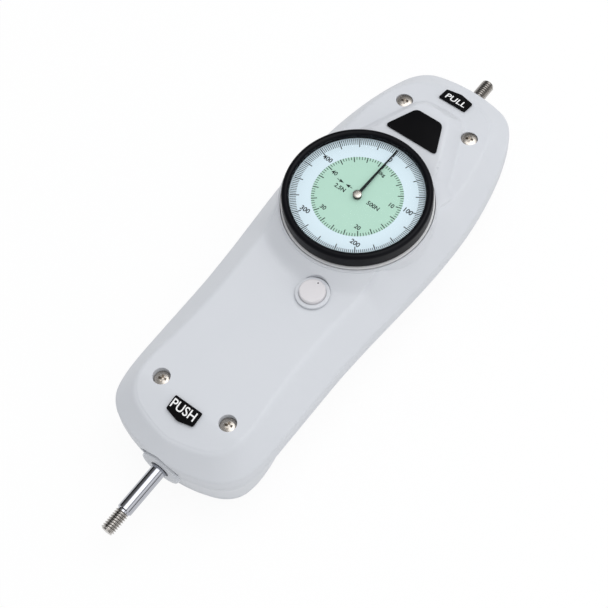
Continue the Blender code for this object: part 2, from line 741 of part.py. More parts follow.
def front_cover():
    outer, inner = front_rows(FACET_SHARES, 0), front_rows(INNER_FACET_SHARES, WALL)
    cover = shell("front_cover", outer, inner)
    boolean(cover, helper("hood", hood_mesh()), "UNION")
    adders = bmesh.new()
    for x, y, depth in SCREW_PLACES:
        top = face_height(x, y) - WALL / 2
        add_cylinder(
            adders, FRONT_POST_RADIUS, PARTING_Z + PARTING_GAP / 2, top, (x, y),
            sides=SMALL_ROUND,
        )
    boolean(cover, helper("front_posts", mesh_of(adders, "front_posts")), "UNION")
    cuts = bmesh.new()
    case_hole = CASE_RADIUS + CASE_HOLE_GAP
    add_cylinder(cuts, case_hole, BRIDGE_LOW_Z, BEZEL_TOP_Z, (0, DIAL_Y), sides=FINE_ROUND)
    sleeve = BUTTON_RADIUS + SEAT_GAP + BUTTON_COLLAR_WALL + SEAT_GAP
    add_cylinder(cuts, sleeve, PARTING_Z + WALL, BEZEL_TOP_Z, (BUTTON_X, BUTTON_Y))
    for radius, low, high in (
        (BOSS_RADIUS + ARCH_GAP, PUSH_BOSS_END - OVERRUN, PUSH_BOSS_ROOT + OVERRUN),
        (PULL_BOSS_RADIUS + ARCH_GAP, PULL_BOSS_ROOT - OVERRUN, PULL_BOSS_END + SEAT_GAP),
    ):
        add_cylinder(cuts, radius, low, high, (0, AXIS_Z), "Y")
    boolean(cover, helper("front_holes", mesh_of(cuts, "front_holes")), "DIFFERENCE", crowded=True)
    spot = bmesh.new()
    add_cylinder(
        spot, COLLAR_FLANGE_RADIUS + SEAT_GAP, face_height(BUTTON_X, BUTTON_Y), BEZEL_TOP_Z,
        (BUTTON_X, BUTTON_Y),
    )
    boolean(cover, helper("button_spot_face", mesh_of(spot, "button_spot_face")), "DIFFERENCE")
    bores = bmesh.new()
    for x, y, depth in SCREW_PLACES:
        seat = face_height(x, y) - depth - SCREW_HEAD_HEIGHT - SEAT_GAP
        add_cylinder(bores, COUNTERBORE_RADIUS, seat, FACE_Z + OVERRUN, (x, y))
    boolean(cover, helper("counterbores", mesh_of(bores, "counterbores")), "DIFFERENCE")
    clear = bmesh.new()
    for x, y, depth in SCREW_PLACES:
        add_cylinder(
            clear, SCREW_RADIUS + SEAT_GAP, PARTING_Z - OVERRUN, FACE_Z, (x, y),
            sides=SMALL_ROUND,
        )
    boolean(cover, helper("screw_clearance", mesh_of(clear, "screw_clearance")), "DIFFERENCE")
    return cover


def rear_cover():
    outer, inner = rear_rows(REAR_SHARES, 0), rear_rows(INNER_REAR_SHARES, WALL)
    cover = shell("rear_cover", outer, inner)
    floor = WALL / 2
    adders = bmesh.new()
    for x, y, depth in SCREW_PLACES:
        add_cylinder(
            adders, REAR_POST_RADIUS, floor, PARTING_Z - PARTING_GAP / 2, (x, y),
            sides=SMALL_ROUND,
        )
    for x, y in CHASSIS_PLACES:
        add_cylinder(
            adders, SMALL_POST_RADIUS, floor, CHASSIS_LOW_Z - SEAT_GAP, (x, y),
            sides=SMALL_ROUND,
        )
    for x, y in INSERT_PLACES:
        boss = INSERT_RADIUS + SEAT_GAP + INSERT_BOSS_WALL
        top = INSERT_RECESS + INSERT_LENGTH + SEAT_GAP + INSERT_BOSS_WALL
        add_cylinder(adders, boss, floor, top, (x, y), sides=SMALL_ROUND)
    for x in (-ANCHOR_SCREW_X, ANCHOR_SCREW_X):
        add_cylinder(
            adders, SMALL_POST_RADIUS, floor, ANCHOR_FOOT_Z - SEAT_GAP, (x, ANCHOR_Y),
            sides=SMALL_ROUND,
        )
    add_cylinder(adders, BOSS_RADIUS, PUSH_BOSS_END, PUSH_BOSS_ROOT, (0, AXIS_Z), "Y")
    add_cylinder(adders, PULL_BOSS_RADIUS, PULL_BOSS_ROOT, PULL_BOSS_END, (0, AXIS_Z), "Y")
    boolean(cover, helper("rear_posts", mesh_of(adders, "rear_posts")), "UNION", crowded=True)
    cuts = bmesh.new()
    for x, y, depth in SCREW_PLACES:
        tip = face_height(x, y) - depth - SCREW_HEAD_HEIGHT - SCREW_LENGTH - OVERRUN
        add_cylinder(cuts, SCREW_RADIUS + SEAT_GAP, tip, PARTING_Z, (x, y), sides=SMALL_ROUND)
    for x, y in CHASSIS_PLACES:
        tip = CHASSIS_TOP_Z - SMALL_SCREW_LENGTH - OVERRUN
        bore = SMALL_SCREW_RADIUS + SEAT_GAP
        add_cylinder(cuts, bore, tip, CHASSIS_LOW_Z, (x, y), sides=SMALL_ROUND)
    for x, y in INSERT_PLACES:
        top = INSERT_RECESS + INSERT_LENGTH + SEAT_GAP
        add_cylinder(
            cuts, INSERT_RADIUS + SEAT_GAP, -OVERRUN, top, (x, y), sides=SMALL_ROUND,
        )
    for x in (-ANCHOR_SCREW_X, ANCHOR_SCREW_X):
        tip = ANCHOR_FOOT_Z + ANCHOR_FOOT_HEIGHT - ANCHOR_SCREW_LENGTH - SEAT_GAP
        bore = SMALL_SCREW_RADIUS + SEAT_GAP
        add_cylinder(cuts, bore, tip, ANCHOR_FOOT_Z, (x, ANCHOR_Y), sides=SMALL_ROUND)
    boolean(cover, helper("rear_holes", mesh_of(cuts, "rear_holes")), "DIFFERENCE", crowded=True)
    mouth, seat = BOSS_MOUTH_RADIUS, BUSH_RADIUS + SEAT_GAP
    for name, top, upper, step, lower, bottom in (
        ("push_bore", PUSH_BOSS_ROOT + OVERRUN, seat, PUSH_SEAT_Y, mouth, PUSH_BOSS_END - OVERRUN),
        ("pull_bore", PULL_Y + OVERRUN, mouth, PULL_SEAT_Y, seat, PULL_BOSS_ROOT - OVERRUN),
    ):
        bore = turned_helper(name, [
            (0, top), (upper, top), (upper, step), (lower, step), (lower, bottom), (0, bottom),
        ])
        place(bore, shaft_axis)
        boolean(cover, bore, "DIFFERENCE")
    return cover


def pan_screw(name, head, head_height, radius, length, seat_z, at, crossed=False):
    """A pan head screw whose head rests on seat_z, with a slot or a cross."""
    dome = head_height * DOME_SHARE
    profile = [
        (0, head_height), (head - dome, head_height), (head, head_height - dome), (head, 0),
        (radius, 0), (radius, -length), (0, -length),
    ]
    made = turned(name, profile, "steel", sides=SMALL_ROUND)
    slot = bmesh.new()
    reach = head * DRIVE_REACH_SHARE
    half = radius * DRIVE_HALF_SHARE
    low = head_height * DRIVE_FLOOR_SHARE
    add_box(slot, (-reach, -half, low), (reach, half, head_height + OVERRUN))
    place(made, None, (at[0], at[1], seat_z))
    drive = mesh_of(slot, name + "_slot")
    for suffix, angle in (("_slot", 0), ("_cross", math.pi / 2))[:2 if crossed else 1]:
        tool = helper(name + suffix, drive)
        place(tool, None, (at[0], at[1], seat_z), (0, 0, angle))
        boolean(made, tool, "DIFFERENCE")
    return made


def fasteners():
    for i, (x, y, depth) in enumerate(SCREW_PLACES, 1):
        seat = face_height(x, y) - depth - SCREW_HEAD_HEIGHT
        pan_screw(
            f"cover_screw_{i}", SCREW_HEAD_RADIUS, SCREW_HEAD_HEIGHT, SCREW_RADIUS,
            SCREW_LENGTH, seat, (x, y), crossed=True,
        )
    for i, at in enumerate(CHASSIS_PLACES, 1):
        pan_screw(
            f"chassis_screw_{i}", SMALL_HEAD_RADIUS, SMALL_HEAD_HEIGHT, SMALL_SCREW_RADIUS,
            SMALL_SCREW_LENGTH, CHASSIS_TOP_Z + SEAT_GAP, at,
        )
    for i, x in enumerate((-ANCHOR_SCREW_X, ANCHOR_SCREW_X), 1):
        pan_screw(
            f"anchor_screw_{i}", SMALL_HEAD_RADIUS, SMALL_HEAD_HEIGHT, SMALL_SCREW_RADIUS,
            ANCHOR_SCREW_LENGTH, ANCHOR_FOOT_Z + ANCHOR_FOOT_HEIGHT + SEAT_GAP, (x, ANCHOR_Y),
        )
    for i, (x, y) in enumerate(INSERT_PLACES, 1):
        low, high = INSERT_RECESS, INSERT_RECESS + INSERT_LENGTH
        ring = [
            (INSERT_RADIUS, high), (INSERT_RADIUS, low),
            (INSERT_BORE_RADIUS, low), (INSERT_BORE_RADIUS, high),
        ]
        insert = turned(f"mount_insert_{i}", ring, "brass", closed=True, sides=SMALL_ROUND)
        place(insert, None, (x, y, 0))


def shaft():
    """Everything on the measuring axis; the profiles' heights run along Y."""
    chamfer, relief = TIP_CHAMFER, THREAD_RELIEF
    tip, root = -OVERALL_LENGTH / 2, THREAD_LENGTH - OVERALL_LENGTH / 2
    grip = CARRIAGE_PUSH_Y + ROD_GRIP - SEAT_GAP
    rod = [
        (0, grip), (SHAFT_RADIUS, grip), (SHAFT_RADIUS, root + relief),
        (THREAD_RADIUS - relief / 2, root + relief), (THREAD_RADIUS - relief / 2, root),
        (THREAD_RADIUS, root), (THREAD_RADIUS, tip + chamfer),
        (THREAD_RADIUS - chamfer, tip), (0, tip),
    ]
    place(turned("push_rod", rod, "steel"), shaft_axis)
    tip, root = OVERALL_LENGTH / 2, OVERALL_LENGTH / 2 - THREAD_LENGTH
    grip = CARRIAGE_PULL_Y - ROD_GRIP + SEAT_GAP
    stud = [
        (0, tip), (THREAD_RADIUS - chamfer, tip), (THREAD_RADIUS, tip - chamfer),
        (THREAD_RADIUS, root), (THREAD_RADIUS - relief / 2, root),
        (THREAD_RADIUS - relief / 2, root - relief), (SHAFT_RADIUS, root - relief),
        (SHAFT_RADIUS, grip), (0, grip),
    ]
    place(turned("pull_stud", stud, "steel"), shaft_axis)
    bore = SHAFT_RADIUS + RUN_GAP
    collar = [
        (COLLAR_RADIUS, COLLAR_PULL_Y), (COLLAR_RADIUS, COLLAR_PUSH_Y),
        (bore, COLLAR_PUSH_Y), (bore, COLLAR_PULL_Y),
    ]
    place(turned("spring_collar", collar, "steel", closed=True), shaft_axis)
    for name, low in (
        ("push_bush", PUSH_SEAT_Y + SEAT_GAP), ("pull_bush", PULL_SEAT_Y - SEAT_GAP - BUSH_LENGTH),
    ):
        high = low + BUSH_LENGTH
        ring = [(BUSH_RADIUS, high), (BUSH_RADIUS, low), (bore, low), (bore, high)]
        place(turned(name, ring, "bronze", closed=True), shaft_axis)
    for name, low in (
        ("collar_nut", COLLAR_PUSH_Y - SEAT_GAP - NUT_HEIGHT),
        ("pull_nut", CARRIAGE_PULL_Y + SEAT_GAP),
    ):
        corner = NUT_ACROSS_FLATS / math.sqrt(3)
        rings = [circle(corner, sides=6), circle(bore, sides=ROUND)]
        nut = plate(name, rings, low, low + NUT_HEIGHT, "steel")
        place(nut, shaft_axis, (0, 0, low + NUT_HEIGHT / 2))


def load_spring():
    """Compression spring round the push rod, with close end turns."""
    count = int(SPRING_TURNS * SPRING_STEPS)
    end_pitch = 2 * SPRING_WIRE_RADIUS + SPRING_END_GAP
    low = SPRING_PUSH_Y + SPRING_WIRE_RADIUS
    high = SPRING_PULL_Y - SPRING_WIRE_RADIUS
    active = SPRING_TURNS - 2 * SPRING_END_TURNS
    pitch = (high - low - 2 * SPRING_END_TURNS * end_pitch) / active
    points = []
    for i in range(count + 1):
        turns = SPRING_TURNS * i / count
        first = min(turns, SPRING_END_TURNS)
        last = max(turns - SPRING_TURNS + SPRING_END_TURNS, 0)
        y = low + (first + last) * end_pitch + (turns - first - last) * pitch
        angle = FULL_TURN * turns
        across = SPRING_MEAN_RADIUS * math.cos(angle)
        points.append((across, y, AXIS_Z + SPRING_MEAN_RADIUS * math.sin(angle)))
    print("load spring's least gap, mm:", round((end_pitch - 2 * SPRING_WIRE_RADIUS) / MM, 2))
    wire("load_spring", points, SPRING_WIRE_RADIUS, "spring_steel", 1)


def spring_anchor():
    """The fixed block that the load spring bears on, seen along the shaft."""
    foot, web, corner = ANCHOR_FOOT_HALF, ANCHOR_WEB_HALF, ANCHOR_CORNER
    low, ankle, top = ANCHOR_FOOT_Z, ANCHOR_FOOT_Z + ANCHOR_FOOT_HEIGHT, ANCHOR_TOP_Z
    outline = [
        (-foot, low), (foot, low), (foot, ankle), (web, ankle), (web, top - corner),
        (web - corner, top), (corner - web, top), (-web, top - corner), (-web, ankle),
        (-foot, ankle),
    ]
    hole = circle(SHAFT_RADIUS + SEAT_GAP, (0, AXIS_Z))
    mesh = flat_mesh("spring_anchor", [outline, hole], ANCHOR_THICKNESS)
    made = piece("spring_anchor", mesh, "aluminium", smooth=False)
    place(made, None, (0, ANCHOR_Y, 0), (math.pi / 2, 0, 0))
    cuts = bmesh.new()
    for x in (-ANCHOR_SCREW_X, ANCHOR_SCREW_X):
        bore = SMALL_SCREW_RADIUS + SEAT_GAP
        add_cylinder(
            cuts, bore, low - OVERRUN, ankle + OVERRUN, (x, ANCHOR_Y), sides=SMALL_ROUND,
        )
    boolean(made, helper("anchor_holes", mesh_of(cuts, "anchor_holes")), "DIFFERENCE")


def tooth_widths(module, radius, tip, root):
    """Half the width of a tooth at its tip and root, as arcs about the pitch circle."""
    half = module * math.pi * TOOTH_WIDTH_SHARE / 2
    return half - tip * TOOTH_FLANK, half + root * TOOTH_FLANK


def gear_outline(module, teeth, first_angle):
    """A spur gear's outline with straight flanks, one tooth centred at first_angle."""
    pitch = module * teeth / 2
    tip, root = module * TOOTH_TIP_SHARE, module * TOOTH_ROOT_SHARE
    at_tip, at_root = tooth_widths(module, pitch, tip, root)
    outline = []
    for k in range(teeth):
        middle = first_angle + FULL_TURN * k / teeth
        for radius, half in (
            (pitch - root, -at_root), (pitch + tip, -at_tip),
            (pitch + tip, at_tip), (pitch - root, at_root),
        ):
            angle = middle + half / radius
            outline.append((radius * math.cos(angle), radius * math.sin(angle)))
    return outline


def rack_outline():
    """The rack: its teeth face the pinion, a gap lies at the pinion's centre."""
    pitch = math.pi * RACK_MODULE
    tip, root = RACK_MODULE * TOOTH_TIP_SHARE, RACK_MODULE * TOOTH_ROOT_SHARE
    at_tip, at_root = tooth_widths(RACK_MODULE, 0, tip, root)
    back = RACK_PITCH_X + root + RACK_THICKNESS
    teeth = []
    for k in range(RACK_TEETH):
        middle = GEAR_Y + (k - RACK_LOW_TEETH + 0.5) * pitch
        teeth += [
            (RACK_PITCH_X + root, middle - at_root), (RACK_PITCH_X - tip, middle - at_tip),
            (RACK_PITCH_X - tip, middle + at_tip), (RACK_PITCH_X + root, middle + at_root),
        ]
    low = GEAR_Y - (RACK_LOW_TEETH + RACK_END_SHARE) * pitch
    high = GEAR_Y + (RACK_TEETH - RACK_LOW_TEETH + RACK_END_SHARE) * pitch
    return [
        (back, low), (RACK_PITCH_X + root, low), *teeth, (RACK_PITCH_X + root, high),
        (back, high),
    ]


def carriage():
    seat = RACK_PITCH_X + RACK_MODULE * TOOTH_ROOT_SHARE + RACK_THICKNESS + SEAT_GAP
    outline = [
        (CARRIAGE_RIGHT, CARRIAGE_PUSH_Y), (CARRIAGE_RIGHT, CARRIAGE_PULL_Y),
        (-CARRIAGE_LEFT, CARRIAGE_PULL_Y), (-CARRIAGE_LEFT, WAIST_PULL_Y),
        (seat, WAIST_PULL_Y), (seat, WAIST_PUSH_Y),
        (-CARRIAGE_LEFT, WAIST_PUSH_Y), (-CARRIAGE_LEFT, CARRIAGE_PUSH_Y),
    ]
    low, high = AXIS_Z - CARRIAGE_HALF_HEIGHT, AXIS_Z + CARRIAGE_HALF_HEIGHT
    made = plate("carriage", [outline], low, high, "aluminium")
    bores = bmesh.new()
    for start, end in (
        (CARRIAGE_PUSH_Y - OVERRUN, CARRIAGE_PUSH_Y + ROD_GRIP),
        (CARRIAGE_PULL_Y - ROD_GRIP, CARRIAGE_PULL_Y + OVERRUN),
    ):
        add_cylinder(bores, SHAFT_RADIUS + RUN_GAP, start, end, (0, AXIS_Z), "Y")
    boolean(made, helper("carriage_bores", mesh_of(bores, "carriage_bores")), "DIFFERENCE")
    low, high = AXIS_Z - RACK_HALF_HEIGHT, AXIS_Z + RACK_HALF_HEIGHT
    plate("rack", [rack_outline()], low, high, "steel")


def gear_train():
    """Drive pinion and gear on one arbor, and the centre pinion that they turn."""
    low, high = AXIS_Z - RACK_HALF_HEIGHT, AXIS_Z + RACK_HALF_HEIGHT
    tooth_outline = gear_outline(RACK_MODULE, PINION_TEETH, 0)
    pinion = plate("drive_pinion", [tooth_outline], low, high, "steel")
    place(pinion, gear_axis, (0, 0, AXIS_Z))
    top = BRIDGE_LOW_Z - SEAT_GAP
    pivot_top = BRIDGE_LOW_Z + BRIDGE_THICKNESS - SEAT_GAP
    arbor = turned_helper("drive_arbor", [
        (0, pivot_top), (PIVOT_RADIUS, pivot_top), (PIVOT_RADIUS, top), (ARBOR_RADIUS, top),
        (ARBOR_RADIUS, low - SEAT_GAP), (0, low - SEAT_GAP),
    ], sides=SMALL_ROUND)
    place(arbor, gear_axis)
    boolean(pinion, arbor, "UNION")

    gear_high = PIVOT_Z + GEAR_OVER_PIVOT
    gear_low = gear_high - GEAR_THICKNESS
    toward_centre = GEAR_BEARING_ANGLE - math.pi
    windows = [
        circle(
            GEAR_WINDOW_RADIUS,
            (GEAR_WINDOW_PLACE * math.cos(FULL_TURN * k / GEAR_SPOKES),
             GEAR_WINDOW_PLACE * math.sin(FULL_TURN * k / GEAR_SPOKES)),
            SMALL_ROUND,
        )
        for k in range(GEAR_SPOKES)
    ]
    bore = circle(ARBOR_RADIUS + RUN_GAP, sides=SMALL_ROUND)
    outline = gear_outline(GEAR_MODULE, GEAR_TEETH, toward_centre)
    gear = plate("drive_gear", [outline, *windows, bore], gear_low, gear_high, "brass")
    place(gear, gear_axis, (0, 0, (gear_low + gear_high) / 2))
    hub_high = gear_high + (GEAR_HUB_HEIGHT - GEAR_THICKNESS) / 2
    hub_low = hub_high - GEAR_HUB_HEIGHT
    inside = ARBOR_RADIUS + RUN_GAP
    hub = turned_helper("gear_hub", [
        (GEAR_HUB_RADIUS, hub_high), (GEAR_HUB_RADIUS, hub_low), (inside, hub_low),
        (inside, hub_high),
    ], closed=True, sides=SMALL_ROUND)
    place(hub, gear_axis)
    boolean(gear, hub, "UNION")

    half_tooth = math.pi / CENTRE_TEETH
    outline = gear_outline(GEAR_MODULE, CENTRE_TEETH, GEAR_BEARING_ANGLE + half_tooth)
    middle = (gear_low + gear_high) / 2
    low, high = middle - CENTRE_PINION_LENGTH / 2, middle + CENTRE_PINION_LENGTH / 2
    centre = plate("centre_pinion", [outline], low, high, "steel")
    place(centre, dial_axis, (0, 0, middle))
    shoulder = CHASSIS_TOP_Z + SEAT_GAP
    foot = CHASSIS_LOW_Z + SEAT_GAP
    top = DIAL_FACE_Z + POINTER_LIFT - SEAT_GAP
    arbor = turned_helper("centre_arbor", [
        (0, top), (CENTRE_ARBOR_RADIUS, top), (CENTRE_ARBOR_RADIUS, shoulder),
        (PIVOT_RADIUS, shoulder), (PIVOT_RADIUS, foot), (0, foot),
    ], sides=SMALL_ROUND)
    place(arbor, dial_axis)
    boolean(centre, arbor, "UNION")


PILLAR_PLACES = tuple(
    (PILLAR_PLACE * math.cos(a), DIAL_Y + PILLAR_PLACE * math.sin(a)) for a in PILLAR_ANGLES
)
PILLAR_TOP_Z = BRIDGE_LOW_Z - SEAT_GAP
BRIDGE_TOP_Z = BRIDGE_LOW_Z + BRIDGE_THICKNESS
CASE_LOW_Z = BRIDGE_TOP_Z + SEAT_GAP
CASE_FLOOR_TOP_Z = CASE_LOW_Z + CASE_FLOOR
PIVOT_Y = BUTTON_Y + PIVOT_FROM_BUTTON
PIVOT_HALF = LEVER_HALF_WIDTH + EAR_GAP + EAR_THICKNESS

# Heights of the zero ring's stack, from its top down
BEZEL_LOW_Z = BEZEL_TOP_Z - BEZEL_HEIGHT
RING_LOW_Z = BEZEL_TOP_Z - RING_HEIGHT
CRYSTAL_LOW_Z = RING_LOW_Z - SEAT_GAP - CRYSTAL_THICKNESS
SPACER_LOW_Z = CRYSTAL_LOW_Z - SEAT_GAP - SPACER_HEIGHT
DIAL_FACE_Z = SPACER_LOW_Z - SEAT_GAP
DIAL_LOW_Z = DIAL_FACE_Z - DIAL_THICKNESS
LEDGE_Z = DIAL_LOW_Z - SEAT_GAP
STACK_RADIUS = VISIBLE_RADIUS + RING_WIDTH
REBATE_RADIUS = STACK_RADIUS + SEAT_GAP


def chassis():
    inset = CHASSIS_CORNER
    left, right = -CHASSIS_HALF_WIDTH + inset, CHASSIS_HALF_WIDTH - inset
    low, high = CHASSIS_PUSH_Y + inset, CHASSIS_PULL_Y - inset
    outline = rounded_hull([(left, low), (right, low), (right, high), (left, high)], inset)
    clear = SMALL_SCREW_RADIUS + SEAT_GAP
    holes = [circle(clear, at, SMALL_ROUND) for at in CHASSIS_PLACES]
    holes += [circle(PIVOT_RADIUS + SEAT_GAP + RUN_GAP, at, SMALL_ROUND) for at in PILLAR_PLACES]
    holes.append(circle(ARBOR_RADIUS + SEAT_GAP, (GEAR_X, GEAR_Y), SMALL_ROUND))
    holes.append(circle(PIVOT_RADIUS + RUN_GAP, (0, DIAL_Y), SMALL_ROUND))
    made = plate("chassis_plate", [outline, *holes], CHASSIS_LOW_Z, CHASSIS_TOP_Z, "aluminium")
    ears = bmesh.new()
    inner = LEVER_HALF_WIDTH + EAR_GAP
    for near, far in ((-PIVOT_HALF, -inner), (inner, PIVOT_HALF)):
        add_box(
            ears, (BUTTON_X + near, PIVOT_Y - LUG_RADIUS, CHASSIS_LOW_Z + SEAT_GAP),
            (BUTTON_X + far, PIVOT_Y + LUG_RADIUS, PIVOT_Z + LUG_RADIUS),
        )
    boolean(made, helper("pivot_ears", mesh_of(ears, "pivot_ears")), "UNION")
    reach = PIVOT_HALF + OVERRUN
    hole = bmesh.new()
    add_cylinder(hole, PIN_RADIUS + RUN_GAP, -reach, reach, sides=SMALL_ROUND)
    ear_hole = helper("ear_hole", mesh_of(hole, "ear_hole"))
    place(ear_hole, None, (BUTTON_X, PIVOT_Y, PIVOT_Z), (0, math.pi / 2, 0))
    boolean(made, ear_hole, "DIFFERENCE")


def bridge():
    corners = [(GEAR_X, GEAR_Y), *PILLAR_PLACES]
    outline = rounded_hull(corners, BRIDGE_MARGIN)
    clear = SMALL_SCREW_RADIUS + SEAT_GAP
    holes = [circle(clear, at, SMALL_ROUND) for at in PILLAR_PLACES]
    holes.append(circle(PIVOT_RADIUS + RUN_GAP, (GEAR_X, GEAR_Y), SMALL_ROUND))
    holes.append(circle(CENTRE_ARBOR_RADIUS + RUN_GAP, (0, DIAL_Y), SMALL_ROUND))
    plate("bridge_plate", [outline, *holes], BRIDGE_LOW_Z, BRIDGE_TOP_Z, "brass")
    for i, (x, y) in enumerate(PILLAR_PLACES, 1):
        foot = CHASSIS_LOW_Z + SEAT_GAP
        shoulder = CHASSIS_TOP_Z + SEAT_GAP
        deep = PILLAR_TOP_Z - PILLAR_BORE_DEPTH
        profile = [
            (clear, PILLAR_TOP_Z), (PILLAR_RADIUS, PILLAR_TOP_Z), (PILLAR_RADIUS, shoulder),
            (PIVOT_RADIUS, shoulder), (PIVOT_RADIUS, foot), (0, foot),
        ]
        bored = [(0, deep), (clear, deep)] + profile
        pillar = turned(f"bridge_pillar_{i}", bored, "brass", sides=SMALL_ROUND)
        place(pillar, None, (x, y, 0))
        seat = CASE_FLOOR_TOP_Z + SEAT_GAP
        length = seat - deep - SEAT_GAP
        pan_screw(
            f"case_screw_{i}", SMALL_HEAD_RADIUS, SMALL_HEAD_HEIGHT, SMALL_SCREW_RADIUS,
            length, seat, (x, y),
        )


def dial_case():
    top = BEZEL_LOW_Z - SEAT_GAP
    inside = CASE_RADIUS - CASE_WALL
    profile = [
        (CASE_RADIUS, top), (CASE_RADIUS, CASE_LOW_Z), (CASE_FLOOR_HOLE, CASE_LOW_Z),
        (CASE_FLOOR_HOLE, CASE_FLOOR_TOP_Z), (inside, CASE_FLOOR_TOP_Z), (inside, top),
    ]
    made = turned("dial_case", profile, "aluminium", closed=True, sides=FINE_ROUND)
    place(made, dial_axis)
    holes = bmesh.new()
    for at in PILLAR_PLACES:
        add_cylinder(
            holes, SMALL_SCREW_RADIUS + SEAT_GAP, CASE_LOW_Z - OVERRUN,
            CASE_FLOOR_TOP_Z + OVERRUN, at, sides=SMALL_ROUND,
        )
    boolean(made, helper("case_holes", mesh_of(holes, "case_holes")), "DIFFERENCE")

    level = CASE_FLOOR_TOP_Z + HAIRSPRING_LIFT
    start = CENTRE_ARBOR_RADIUS + SEAT_GAP + HAIRSPRING_WIRE_RADIUS
    points = []
    for i in range(HAIRSPRING_TURNS * FINE_SPRING_STEPS + 1):
        radius = start + HAIRSPRING_PITCH * i / FINE_SPRING_STEPS
        angle = FULL_TURN * i / FINE_SPRING_STEPS
        points.append((radius * math.cos(angle), radius * math.sin(angle), level))
    gap = HAIRSPRING_PITCH - 2 * HAIRSPRING_WIRE_RADIUS
    print("hairspring's least gap, mm:", round(gap / MM, 2))
    spring = wire("hairspring", points, HAIRSPRING_WIRE_RADIUS, "bronze", 0)
    place(spring, dial_axis)
    out = start + HAIRSPRING_PITCH * HAIRSPRING_TURNS
    clear = out + HAIRSPRING_WIRE_RADIUS + SEAT_GAP + STUD_RADIUS
    low = CASE_FLOOR_TOP_Z + SEAT_GAP
    high = level + STUD_RISE
    post = turned("hairspring_stud", [
        (0, high), (STUD_RADIUS, high), (STUD_RADIUS, low), (0, low),
    ], "brass", sides=SMALL_ROUND)
    place(post, dial_axis, (clear, 0, 0))


def zero_ring():
    """The ring that turns on the case, and what it carries."""
    edge, spigot = BEZEL_EDGE, CASE_RADIUS - CASE_WALL - SEAT_GAP
    lowest = BEZEL_LOW_Z - BEZEL_SPIGOT
    ledge = STACK_RADIUS - DIAL_LEDGE
    profile = [
        (REBATE_RADIUS, BEZEL_TOP_Z), (BEZEL_RADIUS - edge, BEZEL_TOP_Z),
        (BEZEL_RADIUS - edge * EDGE_SHARE, BEZEL_TOP_Z - edge * EDGE_SHARE),
        (BEZEL_RADIUS, BEZEL_TOP_Z - edge), (BEZEL_RADIUS, BEZEL_LOW_Z), (spigot, BEZEL_LOW_Z), (spigot, lowest),
        (ledge, lowest), (ledge, LEDGE_Z), (REBATE_RADIUS, LEDGE_Z),
    ]
    bezel = turned("bezel", profile, "black_anodised", closed=True, sides=FINE_ROUND)
    place(bezel, dial_axis)
    rings = (
        ("crystal_ring", VISIBLE_RADIUS, RING_LOW_Z, BEZEL_TOP_Z, "black_anodised"),
        ("crystal_spacer", VISIBLE_RADIUS + SEAT_GAP, SPACER_LOW_Z,
         SPACER_LOW_Z + SPACER_HEIGHT, "black_anodised"),
        ("dial_plate", DIAL_HOLE, DIAL_LOW_Z, DIAL_FACE_Z, "dial_white"),
    )
    for name, inner, low, high, finish in rings:
        ring = [(STACK_RADIUS, high), (STACK_RADIUS, low), (inner, low), (inner, high)]
        place(turned(name, ring, finish, closed=True, sides=FINE_ROUND), dial_axis)
    high = CRYSTAL_LOW_Z + CRYSTAL_THICKNESS
    disc = [(0, high), (STACK_RADIUS, high), (STACK_RADIUS, CRYSTAL_LOW_Z), (0, CRYSTAL_LOW_Z)]
    place(turned("crystal", disc, "glass", sides=FINE_ROUND), dial_axis)


def pointer():
    low = DIAL_FACE_Z + POINTER_LIFT
    high = low + POINTER_THICKNESS
    root, tip, tail = POINTER_ROOT, POINTER_TIP, POINTER_TAIL
    start = math.asin(root / POINTER_HUB)
    sweep = (math.pi - 2 * start) / POINTER_ARC_STEPS
    arc = [math.pi / 2 + start + sweep * k for k in range(POINTER_ARC_STEPS + 1)]
    left = [(POINTER_HUB * math.cos(a), POINTER_HUB * math.sin(a)) for a in arc]
    right = [(-x, y) for x, y in reversed(left)]
    outline = [
        (tip, POINTER_REACH), (-tip, POINTER_REACH), *left,
        (-root, -tail), (root, -tail), *right,
    ]
    bore = circle(POINTER_BORE, sides=SMALL_ROUND)
    made = plate("pointer", [outline, bore], low, high, "black_paint")
    place(made, dial_axis, (0, 0, (low + high) / 2), (0, 0, POINTER_ANGLE))
    stem = PIVOT_RADIUS
    cap_low = high + SEAT_GAP
    profile = [
        (0, cap_low + CAP_HEIGHT), (CAP_RADIUS - CAP_HEIGHT / 2, cap_low + CAP_HEIGHT),
        (CAP_RADIUS, cap_low + CAP_HEIGHT / 2), (CAP_RADIUS, cap_low), (stem, cap_low),
        (stem, low), (0, low),
    ]
    place(turned("pointer_cap", profile, "steel", sides=SMALL_ROUND), dial_axis)


